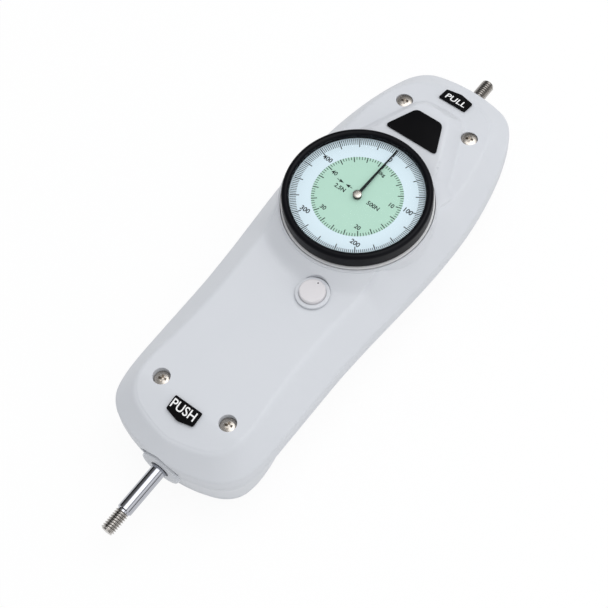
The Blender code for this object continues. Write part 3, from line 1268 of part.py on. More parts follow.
def button():
    """The button with its collar, stem, clip and spring, about the button's axis."""
    face = face_height(BUTTON_X, BUTTON_Y)
    top = face + BUTTON_PROUD
    cap_low = top - BUTTON_HEIGHT
    roof = top - BUTTON_ROOF
    edge = BUTTON_EDGE
    profile = [
        (0, top), (BUTTON_RADIUS - edge, top),
        (BUTTON_RADIUS - edge * EDGE_SHARE, top - edge * EDGE_SHARE), (BUTTON_RADIUS, top - edge), (BUTTON_RADIUS, cap_low), (BUTTON_BORE, cap_low),
        (BUTTON_BORE, roof), (0, roof),
    ]
    place(turned("button_cap", profile, "button_plastic"), button_axis)
    bore = BUTTON_RADIUS + SEAT_GAP
    sleeve = bore + BUTTON_COLLAR_WALL
    floor = cap_low - BUTTON_TRAVEL - SEAT_GAP
    low = floor - BUTTON_COLLAR_FLOOR
    seat = face + SEAT_GAP
    flange = seat + COLLAR_FLANGE_HEIGHT
    hole = STEM_RADIUS + SEAT_GAP
    profile = [
        (bore, flange), (COLLAR_FLANGE_RADIUS - edge / 2, flange),
        (COLLAR_FLANGE_RADIUS, flange - edge / 2), (COLLAR_FLANGE_RADIUS, seat),
        (sleeve, seat), (sleeve, low), (hole, low), (hole, floor), (bore, floor),
    ]
    place(turned("button_collar", profile, "painted_case", closed=True), button_axis)
    tip = LEVER_Z + LEVER_THICKNESS + SEAT_GAP
    clip_low = tip + SEAT_GAP
    clip_high = clip_low + CLIP_HEIGHT
    head = roof - SEAT_GAP
    profile = [
        (0, head), (STEM_HEAD_RADIUS, head), (STEM_HEAD_RADIUS, head - STEM_HEAD_HEIGHT),
        (STEM_RADIUS, head - STEM_HEAD_HEIGHT), (STEM_RADIUS, clip_low),
        (STEM_TIP_RADIUS, clip_low), (STEM_TIP_RADIUS, tip), (0, tip),
    ]
    place(turned("button_stem", profile, "steel", sides=SMALL_ROUND), button_axis)
    inner = STEM_RADIUS + RUN_GAP
    ring = [(CLIP_RADIUS, clip_high), (CLIP_RADIUS, clip_low), (inner, clip_low),
            (inner, clip_high)]
    clip = turned("button_clip", ring, "spring_steel", closed=True, sides=SMALL_ROUND)
    place(clip, button_axis)
    count = BUTTON_SPRING_TURNS * FINE_SPRING_STEPS
    start = floor + SEAT_GAP + BUTTON_SPRING_WIRE
    end = roof - SEAT_GAP - BUTTON_SPRING_WIRE
    points = []
    for i in range(count + 1):
        angle = FULL_TURN * i / FINE_SPRING_STEPS
        across, up = BUTTON_SPRING_RADIUS * math.cos(angle), BUTTON_SPRING_RADIUS * math.sin(angle)
        points.append((across, up, start + (end - start) * i / count))
    gap = (end - start) / BUTTON_SPRING_TURNS - 2 * BUTTON_SPRING_WIRE
    print("button spring's least gap, mm:", round(gap / MM, 2))
    place(wire("button_spring", points, BUTTON_SPRING_WIRE, "spring_steel", 1), button_axis)


def brake():
    """The lever under the button, its pin and the pad that holds the drive gear."""
    half = LEVER_HALF_WIDTH
    low, high = -LEVER_PUSH_REACH, LEVER_PULL_REACH
    side = -LEVER_SIDE_REACH - half
    outline = [
        (-half, low), (half, low), (half, high), (side, high), (side, high - 2 * half),
        (-half, high - 2 * half),
    ]
    made = plate(
        "brake_lever", [outline], LEVER_Z, LEVER_Z + LEVER_THICKNESS, "steel",
    )
    place(made, None, (BUTTON_X, PIVOT_Y, LEVER_Z + LEVER_THICKNESS / 2))
    lug = bmesh.new()
    add_box(
        lug, (BUTTON_X - half + SEAT_GAP, PIVOT_Y - LUG_RADIUS, PIVOT_Z - LUG_RADIUS),
        (BUTTON_X + half - SEAT_GAP, PIVOT_Y + LUG_RADIUS, LEVER_Z + LEVER_THICKNESS / 2),
    )
    boolean(made, helper("lever_lug", mesh_of(lug, "lever_lug")), "UNION")
    hole = bmesh.new()
    add_cylinder(hole, PIN_RADIUS + RUN_GAP, -PIVOT_HALF, PIVOT_HALF, sides=SMALL_ROUND)
    lug_hole = helper("lug_hole", mesh_of(hole, "lug_hole"))
    place(lug_hole, None, (BUTTON_X, PIVOT_Y, PIVOT_Z), (0, math.pi / 2, 0))
    boolean(made, lug_hole, "DIFFERENCE")
    pin = turned("lever_pin", [
        (0, PIVOT_HALF), (PIN_RADIUS, PIVOT_HALF), (PIN_RADIUS, -PIVOT_HALF), (0, -PIVOT_HALF),
    ], "steel", sides=SMALL_ROUND)
    place(pin, None, (BUTTON_X, PIVOT_Y, PIVOT_Z), (0, math.pi / 2, 0))
    top = LEVER_Z - SEAT_GAP
    bottom = PIVOT_Z + GEAR_OVER_PIVOT + SEAT_GAP
    pad = turned("brake_pad", [
        (0, top), (PAD_RADIUS, top), (PAD_RADIUS, bottom), (0, bottom),
    ], "cork", sides=SMALL_ROUND)
    x = BUTTON_X - LEVER_SIDE_REACH
    place(pad, None, (x, PIVOT_Y + high - half, 0))


def front_plates():
    """The bare name plate on the hood and the two word plates on the end slopes."""
    inset = NAME_PLATE_CORNER
    corners = [
        (inset - NAME_PLATE_LONG, NAME_PLATE_LOW + inset),
        (NAME_PLATE_LONG - inset, NAME_PLATE_LOW + inset),
        (NAME_PLATE_SHORT - inset / 2, NAME_PLATE_HIGH - inset),
        (inset / 2 - NAME_PLATE_SHORT, NAME_PLATE_HIGH - inset),
    ]
    low = HOOD_TOP_Z + SEAT_GAP
    name = plate(
        "name_plate", [rounded_hull(corners, inset)], low, low + PLATE_THICKNESS, "black_paint",
    )
    place(name, dial_axis, (0, 0, low + PLATE_THICKNESS / 2))
    half, side, roof = WORD_PLATE_HALF, WORD_PLATE_SIDE / 2, WORD_PLATE_ROOF
    for label, y, sign in (
        ("push_plate", PUSH_Y + PUSH_PLATE_INSET, -1),
        ("pull_plate", PULL_Y - PULL_PLATE_INSET, 1),
    ):
        outline = [(-half, -side), (half, -side), (half, side), (0, side + roof), (-half, side)]
        outline = [(x, sign * v) for x, v in outline]
        if sign < 0:
            outline.reverse()
        here = face_height(0, y)
        tilt = math.atan2(face_height(0, y + side) - face_height(0, y - side), 2 * side)
        made = plate(label, [outline], 0, PLATE_THICKNESS, "black_paint")
        # The slope under a word plate is slightly bent, so the plate gets extra room
        lift = SEAT_GAP + PLATE_THICKNESS / 2 + BEND_ROOM
        place(
            made, None,
            (0, y - lift * math.sin(tilt), here + lift * math.cos(tilt)), (tilt, 0, 0),
        )


front_cover()
rear_cover()
fasteners()
shaft()
load_spring()
spring_anchor()
carriage()
gear_train()
chassis()
bridge()
dial_case()
zero_ring()
pointer()
button()
brake()
front_plates()
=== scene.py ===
import math

import bmesh
import bpy
from mathutils import Matrix, Vector


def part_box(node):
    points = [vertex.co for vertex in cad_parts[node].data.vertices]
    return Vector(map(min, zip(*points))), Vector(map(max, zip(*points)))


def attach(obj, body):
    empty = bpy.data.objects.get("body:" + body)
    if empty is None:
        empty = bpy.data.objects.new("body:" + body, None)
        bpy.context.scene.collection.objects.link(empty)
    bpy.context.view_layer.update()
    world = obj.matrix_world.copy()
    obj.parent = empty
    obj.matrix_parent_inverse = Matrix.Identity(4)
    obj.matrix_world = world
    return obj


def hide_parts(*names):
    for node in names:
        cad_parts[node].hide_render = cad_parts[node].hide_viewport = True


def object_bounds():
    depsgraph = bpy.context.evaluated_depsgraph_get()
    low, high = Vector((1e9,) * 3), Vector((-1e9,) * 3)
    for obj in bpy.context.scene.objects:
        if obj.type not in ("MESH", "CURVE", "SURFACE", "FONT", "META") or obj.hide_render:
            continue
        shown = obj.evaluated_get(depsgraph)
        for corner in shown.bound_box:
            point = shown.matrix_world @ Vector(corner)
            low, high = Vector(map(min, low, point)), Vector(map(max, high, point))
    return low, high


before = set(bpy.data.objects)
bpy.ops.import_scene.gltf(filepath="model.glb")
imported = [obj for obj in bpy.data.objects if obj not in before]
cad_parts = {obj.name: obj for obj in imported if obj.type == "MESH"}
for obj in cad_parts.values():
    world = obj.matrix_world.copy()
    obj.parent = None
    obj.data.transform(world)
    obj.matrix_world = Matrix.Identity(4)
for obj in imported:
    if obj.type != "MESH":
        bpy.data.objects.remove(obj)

# Analog force gauge: fine painted covers, dial print, threads and finishes, all in metres.
mm = 0.001
fullTurn = 2 * math.pi
mergeGap = 0.005 * mm
letterGap = 0.0005  # share of a letter's size, under which two of its points are one
sharpAngle = math.radians(32)  # edges that turn more than this are drawn sharp
cadLow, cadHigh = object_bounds()


def centreOf(node):
    low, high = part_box(node)
    return (low + high) / 2


dialCentre = centreOf("bezel")
dialCentre.z = 0
buttonCentre = centreOf("button_cap")
buttonCentre.z = 0
shaftZ = centreOf("push_rod").z


# Finishes

finishes = {
    # colour, second colour, noise per metre, roughness low and high, metallic, specular level, bump
    "paintedCase": ((0.605, 0.622, 0.657), (0.625, 0.64, 0.672), 1400, (0.42, 0.5), 0, 0.35, 0.2),
    "ringBlack": ((0.003, 0.0032, 0.005), (0.005, 0.0052, 0.007), 1500, (0.28, 0.38), 0, 0.1, 0.02),
    "plateBlack": ((0.003, 0.003, 0.0035), (0.005, 0.005, 0.006), 2500, (0.45, 0.55), 0, 0.05, 0.04),
    "chromedRod": ((0.42, 0.43, 0.47), (0.48, 0.49, 0.53), 1200, (0.05, 0.1), 1, 0.5, 0.01),
    "brightSteel": ((0.5, 0.48, 0.45), (0.6, 0.58, 0.55), 2000, (0.2, 0.3), 1, 0.5, 0.04),
    "screwNickel": ((0.52, 0.48, 0.44), (0.66, 0.62, 0.57), 2500, (0.22, 0.32), 1, 0.5, 0.06),
    "threadSteel": ((0.42, 0.4, 0.38), (0.56, 0.54, 0.52), 2500, (0.2, 0.32), 1, 0.5, 0.04),
    "springSteel": ((0.33, 0.33, 0.35), (0.4, 0.4, 0.42), 1800, (0.25, 0.35), 1, 0.5, 0.03),
    "turnedBrass": ((0.7, 0.5, 0.2), (0.76, 0.56, 0.25), 1500, (0.22, 0.34), 1, 0.5, 0.03),
    "bushBronze": ((0.52, 0.34, 0.17), (0.6, 0.4, 0.2), 1500, (0.3, 0.42), 1, 0.5, 0.03),
    "bareAluminium": ((0.66, 0.67, 0.68), (0.74, 0.75, 0.76), 2200, (0.24, 0.36), 1, 0.5, 0.03),
    "satinCup": ((0.78, 0.78, 0.79), (0.82, 0.82, 0.83), 2000, (0.4, 0.5), 0.2, 0.5, 0.02),
    "dialWhite": ((0.65, 0.78, 0.845), (0.67, 0.795, 0.86), 1500, (0.5, 0.6), 0, 0.1, 0.01),
    "dialGreen": ((0.43, 0.652, 0.54), (0.445, 0.667, 0.555), 1500, (0.5, 0.6), 0, 0.1, 0.01),
    "printBlack": ((0.008, 0.01, 0.012), (0.012, 0.014, 0.016), 3000, (0.5, 0.6), 0, 0.1, 0),
    "printWhite": ((0.86, 0.86, 0.86), (0.9, 0.9, 0.9), 3000, (0.45, 0.55), 0, 0.2, 0),
    "buttonPlastic": ((0.66, 0.64, 0.66), (0.675, 0.655, 0.672), 1200, (0.36, 0.46), 0, 0.4, 0.03),
    "brakeCork": ((0.3, 0.2, 0.12), (0.42, 0.3, 0.19), 1800, (0.85, 0.95), 0, 0.3, 0.3),
}


def finishOf(name):
    made = bpy.data.materials.get(name)
    if made:
        return made
    colour, second, scale, rough, metallic, specular, bump = finishes[name]
    made = bpy.data.materials.new(name)
    made.use_nodes = True
    nodes = made.node_tree.nodes
    link = made.node_tree.links.new
    shader = nodes["Principled BSDF"]
    shader.inputs["Metallic"].default_value = metallic
    shader.inputs["Specular IOR Level"].default_value = specular
    place = nodes.new("ShaderNodeTexCoord")
    grain = nodes.new("ShaderNodeTexNoise")
    grain.inputs["Scale"].default_value = scale
    grain.inputs["Detail"].default_value = 3
    link(place.outputs["Object"], grain.inputs["Vector"])
    cloud = nodes.new("ShaderNodeTexNoise")  # slow change over the piece
    cloud.inputs["Scale"].default_value = scale / 20
    link(place.outputs["Object"], cloud.inputs["Vector"])
    tint = nodes.new("ShaderNodeMix")
    tint.data_type = "RGBA"
    tint.inputs["A"].default_value = (*colour, 1)
    tint.inputs["B"].default_value = (*second, 1)
    link(cloud.outputs["Fac"], tint.inputs["Factor"])
    link(tint.outputs["Result"], shader.inputs["Base Color"])
    gloss = nodes.new("ShaderNodeMapRange")
    gloss.inputs["To Min"].default_value = rough[0]
    gloss.inputs["To Max"].default_value = rough[1]
    link(grain.outputs["Fac"], gloss.inputs["Value"])
    link(gloss.outputs["Result"], shader.inputs["Roughness"])
    if bump:
        relief = nodes.new("ShaderNodeBump")
        relief.inputs["Strength"].default_value = bump
        relief.inputs["Distance"].default_value = 0.1 * mm
        link(grain.outputs["Fac"], relief.inputs["Height"])
        link(relief.outputs["Normal"], shader.inputs["Normal"])
    return made


def clearGlass():
    made = bpy.data.materials.new("clearCrystal")
    made.use_nodes = True
    nodes = made.node_tree.nodes
    link = made.node_tree.links.new
    shader = nodes["Principled BSDF"]
    shader.inputs["Base Color"].default_value = (1, 1, 1, 1)
    shader.inputs["Roughness"].default_value = 0.02
    shader.inputs["IOR"].default_value = 1.45
    shader.inputs["Transmission Weight"].default_value = 1
    passing = nodes.new("ShaderNodeBsdfTransparent")  # lamps shine through to the dial
    path = nodes.new("ShaderNodeLightPath")
    either = nodes.new("ShaderNodeMath")
    either.operation = "MAXIMUM"
    link(path.outputs["Is Shadow Ray"], either.inputs[0])
    link(path.outputs["Is Diffuse Ray"], either.inputs[1])
    thin = nodes.new("ShaderNodeMath")
    thin.operation = "MAXIMUM"
    thin.inputs[1].default_value = 0.985
    link(either.outputs["Value"], thin.inputs[0])
    mix = nodes.new("ShaderNodeMixShader")
    link(thin.outputs["Value"], mix.inputs["Fac"])
    link(shader.outputs["BSDF"], mix.inputs[1])
    link(passing.outputs["BSDF"], mix.inputs[2])
    link(mix.outputs["Shader"], nodes["Material Output"].inputs["Surface"])
    return made


# Making pieces

def newPiece(name, bm, finish, body, replaced=()):
    mesh = bpy.data.meshes.new(name)
    bm.to_mesh(mesh)
    bm.free()
    mesh.shade_smooth()
    mesh.set_sharp_from_angle(angle=sharpAngle)
    made = bpy.data.objects.new(name, mesh)
    bpy.context.scene.collection.objects.link(made)
    mesh.materials.append(finish if isinstance(finish, bpy.types.Material) else finishOf(finish))
    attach(made, body)
    if replaced:
        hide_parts(*replaced)
    return made


def scratch(bm, name):
    mesh = bpy.data.meshes.new(name)
    bm.to_mesh(mesh)
    bm.free()
    made = bpy.data.objects.new(name, mesh)
    bpy.context.scene.collection.objects.link(made)
    return made


def cutAway(bm, steps):
    body = scratch(bm, "uncut")
    tools = []
    for operation, tool in steps:
        made = scratch(tool, "tool")
        tools.append(made)
        step = body.modifiers.new("step", "BOOLEAN")
        step.operation = operation
        step.object = made
        step.solver = "MANIFOLD"
    graph = bpy.context.evaluated_depsgraph_get()
    mesh = bpy.data.meshes.new_from_object(body.evaluated_get(graph))
    for old in [body, *tools]:
        bpy.data.objects.remove(old, do_unlink=True)
    result = bmesh.new()
    result.from_mesh(mesh)
    return result


def spinProfile(points, steps=96, closed=False, at=(0, 0), axis="Z", bm=None):
    bm = bm or bmesh.new()
    verts = [bm.verts.new((r, 0, z)) for r, z in points]
    pairs = list(zip(verts, verts[1:]))
    if closed:
        pairs.append((verts[-1], verts[0]))
    edges = [bm.edges.new(pair) for pair in pairs]
    before = set(bm.faces)
    bmesh.ops.spin(
        bm, geom=verts + edges, cent=(0, 0, 0), axis=(0, 0, 1), angle=fullTurn, steps=steps,
        use_merge=True,
    )
    faces = [face for face in bm.faces if face not in before]
    mine = list(dict.fromkeys(vert for face in faces for vert in face.verts))
    bmesh.ops.remove_doubles(bm, verts=mine, dist=mergeGap)
    faces = [face for face in bm.faces if face not in before]
    bmesh.ops.recalc_face_normals(bm, faces=faces)
    mine = list(dict.fromkeys(vert for face in faces for vert in face.verts))
    if axis == "Y":
        bmesh.ops.transform(bm, verts=mine, matrix=Matrix.Rotation(-math.pi / 2, 4, "X"))
        bmesh.ops.translate(bm, verts=mine, vec=(at[0], 0, at[1]))
    else:
        bmesh.ops.translate(bm, verts=mine, vec=(at[0], at[1], 0))
    return bm


def addBlock(bm, size, matrix):
    made = bmesh.ops.create_cube(bm, size=1)["verts"]
    bmesh.ops.scale(bm, verts=made, vec=size)
    bmesh.ops.transform(bm, verts=made, matrix=matrix)
    return made


def addDisc(bm, radius, low, high, at, sides=96):
    made = bmesh.ops.create_cone(
        bm, cap_ends=True, segments=sides, radius1=radius, radius2=radius, depth=high - low,
    )["verts"]
    bmesh.ops.translate(bm, verts=made, vec=(at[0], at[1], (low + high) / 2))
    return made


def addWord(bm, word, height, depth, matrix, widen=1.0, bold=0.0):
    curve = bpy.data.curves.new("word", "FONT")
    curve.body = word
    curve.size = 1
    curve.align_x = "CENTER"
    curve.resolution_u = 4
    curve.offset = bold
    rough = bpy.data.objects.new("word", curve)
    bpy.context.scene.collection.objects.link(rough)
    graph = bpy.context.evaluated_depsgraph_get()
    mesh = bpy.data.meshes.new_from_object(rough.evaluated_get(graph))
    bpy.data.objects.remove(rough, do_unlink=True)
    flat = bmesh.new()
    flat.from_mesh(mesh)
    bmesh.ops.remove_doubles(flat, verts=flat.verts, dist=letterGap)
    lowX = min(vert.co.x for vert in flat.verts)
    highX = max(vert.co.x for vert in flat.verts)
    lowY = min(vert.co.y for vert in flat.verts)
    highY = max(vert.co.y for vert in flat.verts)
    scale = height / (highY - lowY)
    bmesh.ops.translate(flat, verts=flat.verts, vec=(-(lowX + highX) / 2, -(lowY + highY) / 2, 0))
    bmesh.ops.scale(flat, verts=flat.verts, vec=(scale * widen, scale, 1))
    raised = bmesh.ops.extrude_face_region(flat, geom=flat.faces[:])["geom"]
    top = [item for item in raised if isinstance(item, bmesh.types.BMVert)]
    bmesh.ops.translate(flat, verts=top, vec=(0, 0, depth))
    bmesh.ops.recalc_face_normals(flat, faces=flat.faces)
    bmesh.ops.transform(flat, verts=flat.verts, matrix=matrix)
    flat.to_mesh(mesh)
    flat.free()
    bm.from_mesh(mesh)


# Camera, floor and light

cameraSet = {"place": (0.18329, -0.19806, 0.52189), "turn": (27.5069, 2.97704, 37.76663), "lens": 88.2042}
cameraData = bpy.data.cameras.new("camera")
cameraData.lens = cameraSet["lens"]
cameraData.sensor_width = 36
cameraData.clip_start = 0.01
camera = bpy.data.objects.new("camera", cameraData)
camera.location = cameraSet["place"]
camera.rotation_euler = [math.radians(angle) for angle in cameraSet["turn"]]
bpy.context.scene.collection.objects.link(camera)
bpy.context.scene.camera = camera
bpy.context.scene.view_settings.view_transform = "Standard"

studio = {
    "floorDrop": 0.2 * mm, "floorSize": 6.0, "floorWhite": 0.9, "floorClean": 0.92,
    "ambient": 0.735, "ambientTint": (0.97, 0.985, 1, 1),
    "wallLevels": ((0.1, 0.04), (0.3, 0.06), (0.45, 0.55), (0.7, 0.8), (1.0, 1.0)),
    "sideReach": (-0.8, 0.9), "sideLevels": (0.2, 0.85),
    "lamps": (
        # name, place, aimed at, size, watts
        ("topLamp", (0.15, 0.3, 0.95), (0, 0, 0), 0.9, 4.5),
        ("sideLamp", (0.9, -0.1, 0.45), (0, 0, 0), 0.6, 0.8),
    ),
}


def cleanRays(nodes, link, kinds):
    path = nodes.new("ShaderNodeLightPath")
    found = path.outputs[kinds[0]]
    for kind in kinds[1:]:
        either = nodes.new("ShaderNodeMath")
        either.operation = "MAXIMUM"
        link(found, either.inputs[0])
        link(path.outputs[kind], either.inputs[1])
        found = either.outputs["Value"]
    return found


def makeStudio():
    bm = bmesh.new()
    bmesh.ops.create_grid(bm, x_segments=1, y_segments=1, size=studio["floorSize"] / 2)
    bmesh.ops.translate(bm, verts=bm.verts, vec=(0, 0, cadLow[2] - studio["floorDrop"]))
    floor = scratch(bm, "floor")
    paint = bpy.data.materials.new("palePaper")
    paint.use_nodes = True
    nodes = paint.node_tree.nodes
    link = paint.node_tree.links.new
    shader = nodes["Principled BSDF"]
    shader.inputs["Base Color"].default_value = (*[studio["floorWhite"]] * 3, 1)
    shader.inputs["Roughness"].default_value = 0.9
    shader.inputs["Specular IOR Level"].default_value = 0
    white = nodes.new("ShaderNodeEmission")
    share = nodes.new("ShaderNodeMath")
    share.operation = "MULTIPLY"
    share.inputs[1].default_value = studio["floorClean"]
    seen = cleanRays(nodes, link, ("Is Camera Ray", "Is Glossy Ray", "Is Transmission Ray"))
    link(seen, share.inputs[0])
    mix = nodes.new("ShaderNodeMixShader")
    link(share.outputs["Value"], mix.inputs["Fac"])
    link(shader.outputs["BSDF"], mix.inputs[1])
    link(white.outputs["Emission"], mix.inputs[2])
    link(mix.outputs["Shader"], nodes["Material Output"].inputs["Surface"])
    floor.data.materials.append(paint)

    world = bpy.data.worlds.new("softStudio")
    world.use_nodes = True
    bpy.context.scene.world = world
    nodes = world.node_tree.nodes
    link = world.node_tree.links.new
    ambient = nodes["Background"]
    ambient.inputs["Color"].default_value = studio["ambientTint"]
    ambient.inputs["Strength"].default_value = studio["ambient"]
    clean = nodes.new("ShaderNodeBackground")
    clean.inputs["Color"].default_value = (1, 1, 1, 1)
    mirrored = nodes.new("ShaderNodeBackground")  # what gloss sees: a dark horizon under pale walls
    place = nodes.new("ShaderNodeTexCoord")
    height = nodes.new("ShaderNodeSeparateXYZ")
    link(place.outputs["Generated"], height.inputs["Vector"])
    ramp = nodes.new("ShaderNodeValToRGB")
    stops = ramp.color_ramp.elements
    first, *between, last = studio["wallLevels"]
    ends = [stops[0], stops[1]]
    for stop, (position, level) in zip(ends, (first, last)):
        stop.position = position
        stop.color = (level, level, level, 1)
    for position, level in between:
        stop = stops.new(position)
        stop.color = (level, level, level, 1)
    link(height.outputs["Z"], ramp.inputs["Fac"])
    side = nodes.new("ShaderNodeMapRange")  # the left side of the room is darker
    side.inputs["From Min"].default_value = studio["sideReach"][0]
    side.inputs["From Max"].default_value = studio["sideReach"][1]
    side.inputs["To Min"].default_value = studio["sideLevels"][0]
    side.inputs["To Max"].default_value = studio["sideLevels"][1]
    link(height.outputs["X"], side.inputs["Value"])
    link(side.outputs["Result"], mirrored.inputs["Strength"])
    link(ramp.outputs["Color"], mirrored.inputs["Color"])
    glossy = nodes.new("ShaderNodeMixShader")
    link(cleanRays(nodes, link, ("Is Glossy Ray",)), glossy.inputs["Fac"])
    link(ambient.outputs["Background"], glossy.inputs[1])
    link(mirrored.outputs["Background"], glossy.inputs[2])
    mix = nodes.new("ShaderNodeMixShader")
    link(cleanRays(nodes, link, ("Is Camera Ray", "Is Transmission Ray")), mix.inputs["Fac"])
    link(glossy.outputs["Shader"], mix.inputs[1])
    link(clean.outputs["Background"], mix.inputs[2])
    link(mix.outputs["Shader"], nodes["World Output"].inputs["Surface"])

    for name, where, aim, size, watts in studio["lamps"]:
        data = bpy.data.lights.new(name, "AREA")
        data.energy = watts
        data.size = size
        lamp = bpy.data.objects.new(name, data)
        lamp.location = where
        lamp.rotation_euler = (Vector(aim) - Vector(where)).to_track_quat("-Z", "Y").to_euler()
        bpy.context.scene.collection.objects.link(lamp)


makeStudio()
print("studio made")


# Covers

cover = {
    "pushY": -90.1 * mm, "pullY": 107.4 * mm, "halfWidth": 35.6 * mm,
    "partingZ": 20.4 * mm, "partingGap": 0.12 * mm, "lipTopZ": 25.7 * mm, "faceZ": 36.0 * mm,
    "wall": 2.0 * mm, "lipRound": 0.7 * mm, "rearLand": 1.4 * mm,
    "pushSlopeInset": 21.0 * mm, "pullSlopeInset": 27.4 * mm, "slopeBlend": 3.0 * mm,
    "endSlope": math.tan(math.radians(16)),
    "holeRadius": 29.4 * mm, "deckRise": 5.4 * mm, "deckReach": 8.0 * mm,
    "stepsAlong": 16, "faceColumns": 54, "innerColumns": 10, "rearColumns": 8, "lipStations": 5,
    "slopeRise": 0.978, "roundFrom": 0.88, "roundCurve": 1.653, "creaseEnd": 1.17,
    "rearSlope": 0.99, "rearCurve": 1.35, "rearEnd": 1.15,
    "collarRadius": 30.3 * mm, "collarLow": 33.5 * mm, "collarTop": 41.8 * mm,
    "collarRise": 5.0 * mm, "collarInside": 1.5 * mm, "collarEdge": 0.2 * mm,
    "screwPost": 5.0 * mm, "postTop": 30.0 * mm, "postCover": 0.8 * mm,
    "rimReach": 0.01 * mm, "mendReach": 0.7 * mm, "mendCell": 0.2 * mm, "mendTries": 4,
    "endTaper": 0.45, "fullEnd": 8.0 * mm, "fullFade": 50.0 * mm,
}
bandShares = (
    (0.0, 0.0), (0.004, 0.25), (0.014, 0.48), (0.03, 0.68), (0.055, 0.812), (0.09, 0.872),
    (0.135, 0.894), (0.2, 0.899), (0.27, 0.9), (0.34, 0.903), (0.42, 0.925), (0.5, 0.958),
    (0.58, 0.988), (0.655, 1.0), (0.73, 0.985), (0.8, 0.937), (0.865, 0.862), (0.92, 0.765),
    (0.96, 0.655), (0.985, 0.5), (0.996, 0.27), (1.0, 0.0),
)
creaseShares = (
    (0.032, 0.0), (0.036, 0.17), (0.044, 0.345), (0.056, 0.505), (0.076, 0.62), (0.104, 0.672),
    (0.145, 0.68), (0.2, 0.652), (0.27, 0.632), (0.34, 0.632), (0.42, 0.655), (0.5, 0.684),
    (0.58, 0.722), (0.655, 0.758), (0.73, 0.765), (0.8, 0.738), (0.86, 0.68), (0.905, 0.595),
    (0.936, 0.49), (0.953, 0.345), (0.961, 0.17), (0.963, 0.0),
)
hood = {
    "topZ": 42.5 * mm, "roundStart": -1.1 * mm, "roundEnd": 0.7 * mm, "slope": 1.257,
    "fillet": 0.6 * mm,
    "ridge": (
        (17.4 * mm, 17.0 * mm), (17.4 * mm, 26.4 * mm), (14.4 * mm, 33.7 * mm),
        (11.0 * mm, 41.5 * mm), (8.0 * mm, 49.2 * mm), (5.6 * mm, 51.2 * mm), (0.0, 51.5 * mm),
    ),
}
cuts = {
    # arches and bosses: radius, then start and end along the shaft from that end of the cover
    "pushArch": (10.2 * mm, -3 * mm, 13 * mm), "pullArch": (6.95 * mm, -15.2 * mm, -1.9 * mm),
    "pushBoss": (8.3 * mm, -0.3 * mm, 12 * mm), "pullBoss": (6.6 * mm, -14.2 * mm, -2.2 * mm),
    "bossEdge": 0.4 * mm, "mouthRadius": 3.9 * mm, "seatRadius": 5.3 * mm, "mouthPast": 3 * mm,
    "pushLip": 2 * mm, "pushDeep": 14 * mm, "pullLip": 4.2 * mm, "pullDeep": 16 * mm,
    "dialLow": 29 * mm, "dialHigh": 60 * mm, "insertGap": 0.3 * mm,
    "wellRadius": 6.4 * mm, "wellSeat": 1.3 * mm, "wellGap": 0.15 * mm, "wellDeep": 12 * mm,
    "wellHigh": 20 * mm, "shankRadius": 1.8 * mm, "headRadius": 3.35 * mm, "headDeep": 2.2 * mm,
    "headHigh": 50 * mm,
}


def smoothPath(shares, steps):
    points = [Vector(share) for share in shares]
    first = Vector((points[1].x, -points[1].y))
    last = Vector((points[-2].x, -points[-2].y))
    path = [first, *points, last]
    out = []
    for a, b, c, d in zip(path, path[1:], path[2:], path[3:]):
        for k in range(steps):
            t = k / steps
            out.append((
                b * 2 + (c - a) * t + (a * 2 - b * 5 + c * 4 - d) * t ** 2
                + (b * 3 - a - c * 3 + d) * t ** 3
            ) / 2)
    out.append(points[-1])
    length = cover["pullY"] - cover["pushY"]
    return [Vector((cover["halfWidth"] * p.y, cover["pushY"] + length * p.x)) for p in out]


def insetPath(path, distance):
    moved = []
    for i, point in enumerate(path):
        along = path[min(i + 1, len(path) - 1)] - path[max(i - 1, 0)]
        if i in (0, len(path) - 1):
            along = Vector((1 if i == 0 else -1, 0))
        along.normalize()
        moved.append(Vector((max(point.x - along.y * distance, 0), point.y + along.x * distance)))
    moved[0].x = moved[-1].x = 0
    return moved


def eased(share):
    share = min(max(share, 0), 1)
    return share * share * (3 - 2 * share)


def faceHeight(x, y):
    height = cover["faceZ"]
    ends = (cover["pushY"] + cover["pushSlopeInset"] - y, y - cover["pullY"] + cover["pullSlopeInset"])
    for past in ends:
        if past > 0:
            height -= cover["endSlope"] * past * past / (past + cover["slopeBlend"])
    away = math.hypot(x, y - dialCentre.y) - cover["holeRadius"]
    return height + cover["deckRise"] * (1 - eased(away / cover["deckReach"]))


def hoodHeight(x, y):
    half = [Vector(point) for point in hood["ridge"]]
    whole = half + [Vector((-point.x, point.y)) for point in reversed(half[:-1])]
    spot = Vector((x, y - dialCentre.y))
    nearest = 1.0
    inside = True
    for a, b in zip(whole, whole[1:] + whole[:1]):
        edge = b - a
        share = min(max((spot - a).dot(edge) / edge.length_squared, 0), 1)
        nearest = min(nearest, (spot - a - edge * share).length)
        if edge.cross(spot - a) < 0:
            inside = False
    distance = -nearest if inside else nearest
    start, end = hood["roundStart"], hood["roundEnd"]
    curve = hood["slope"] / (2 * (end - start))
    into = min(max(distance, start), end) - start
    height = hood["topZ"] - curve * into * into
    return height - hood["slope"] * max(distance - end, 0)


def softMax(a, b, reach):
    apart = abs(a - b)
    return max(a, b) + (max(reach - apart, 0) ** 2) / (4 * reach)


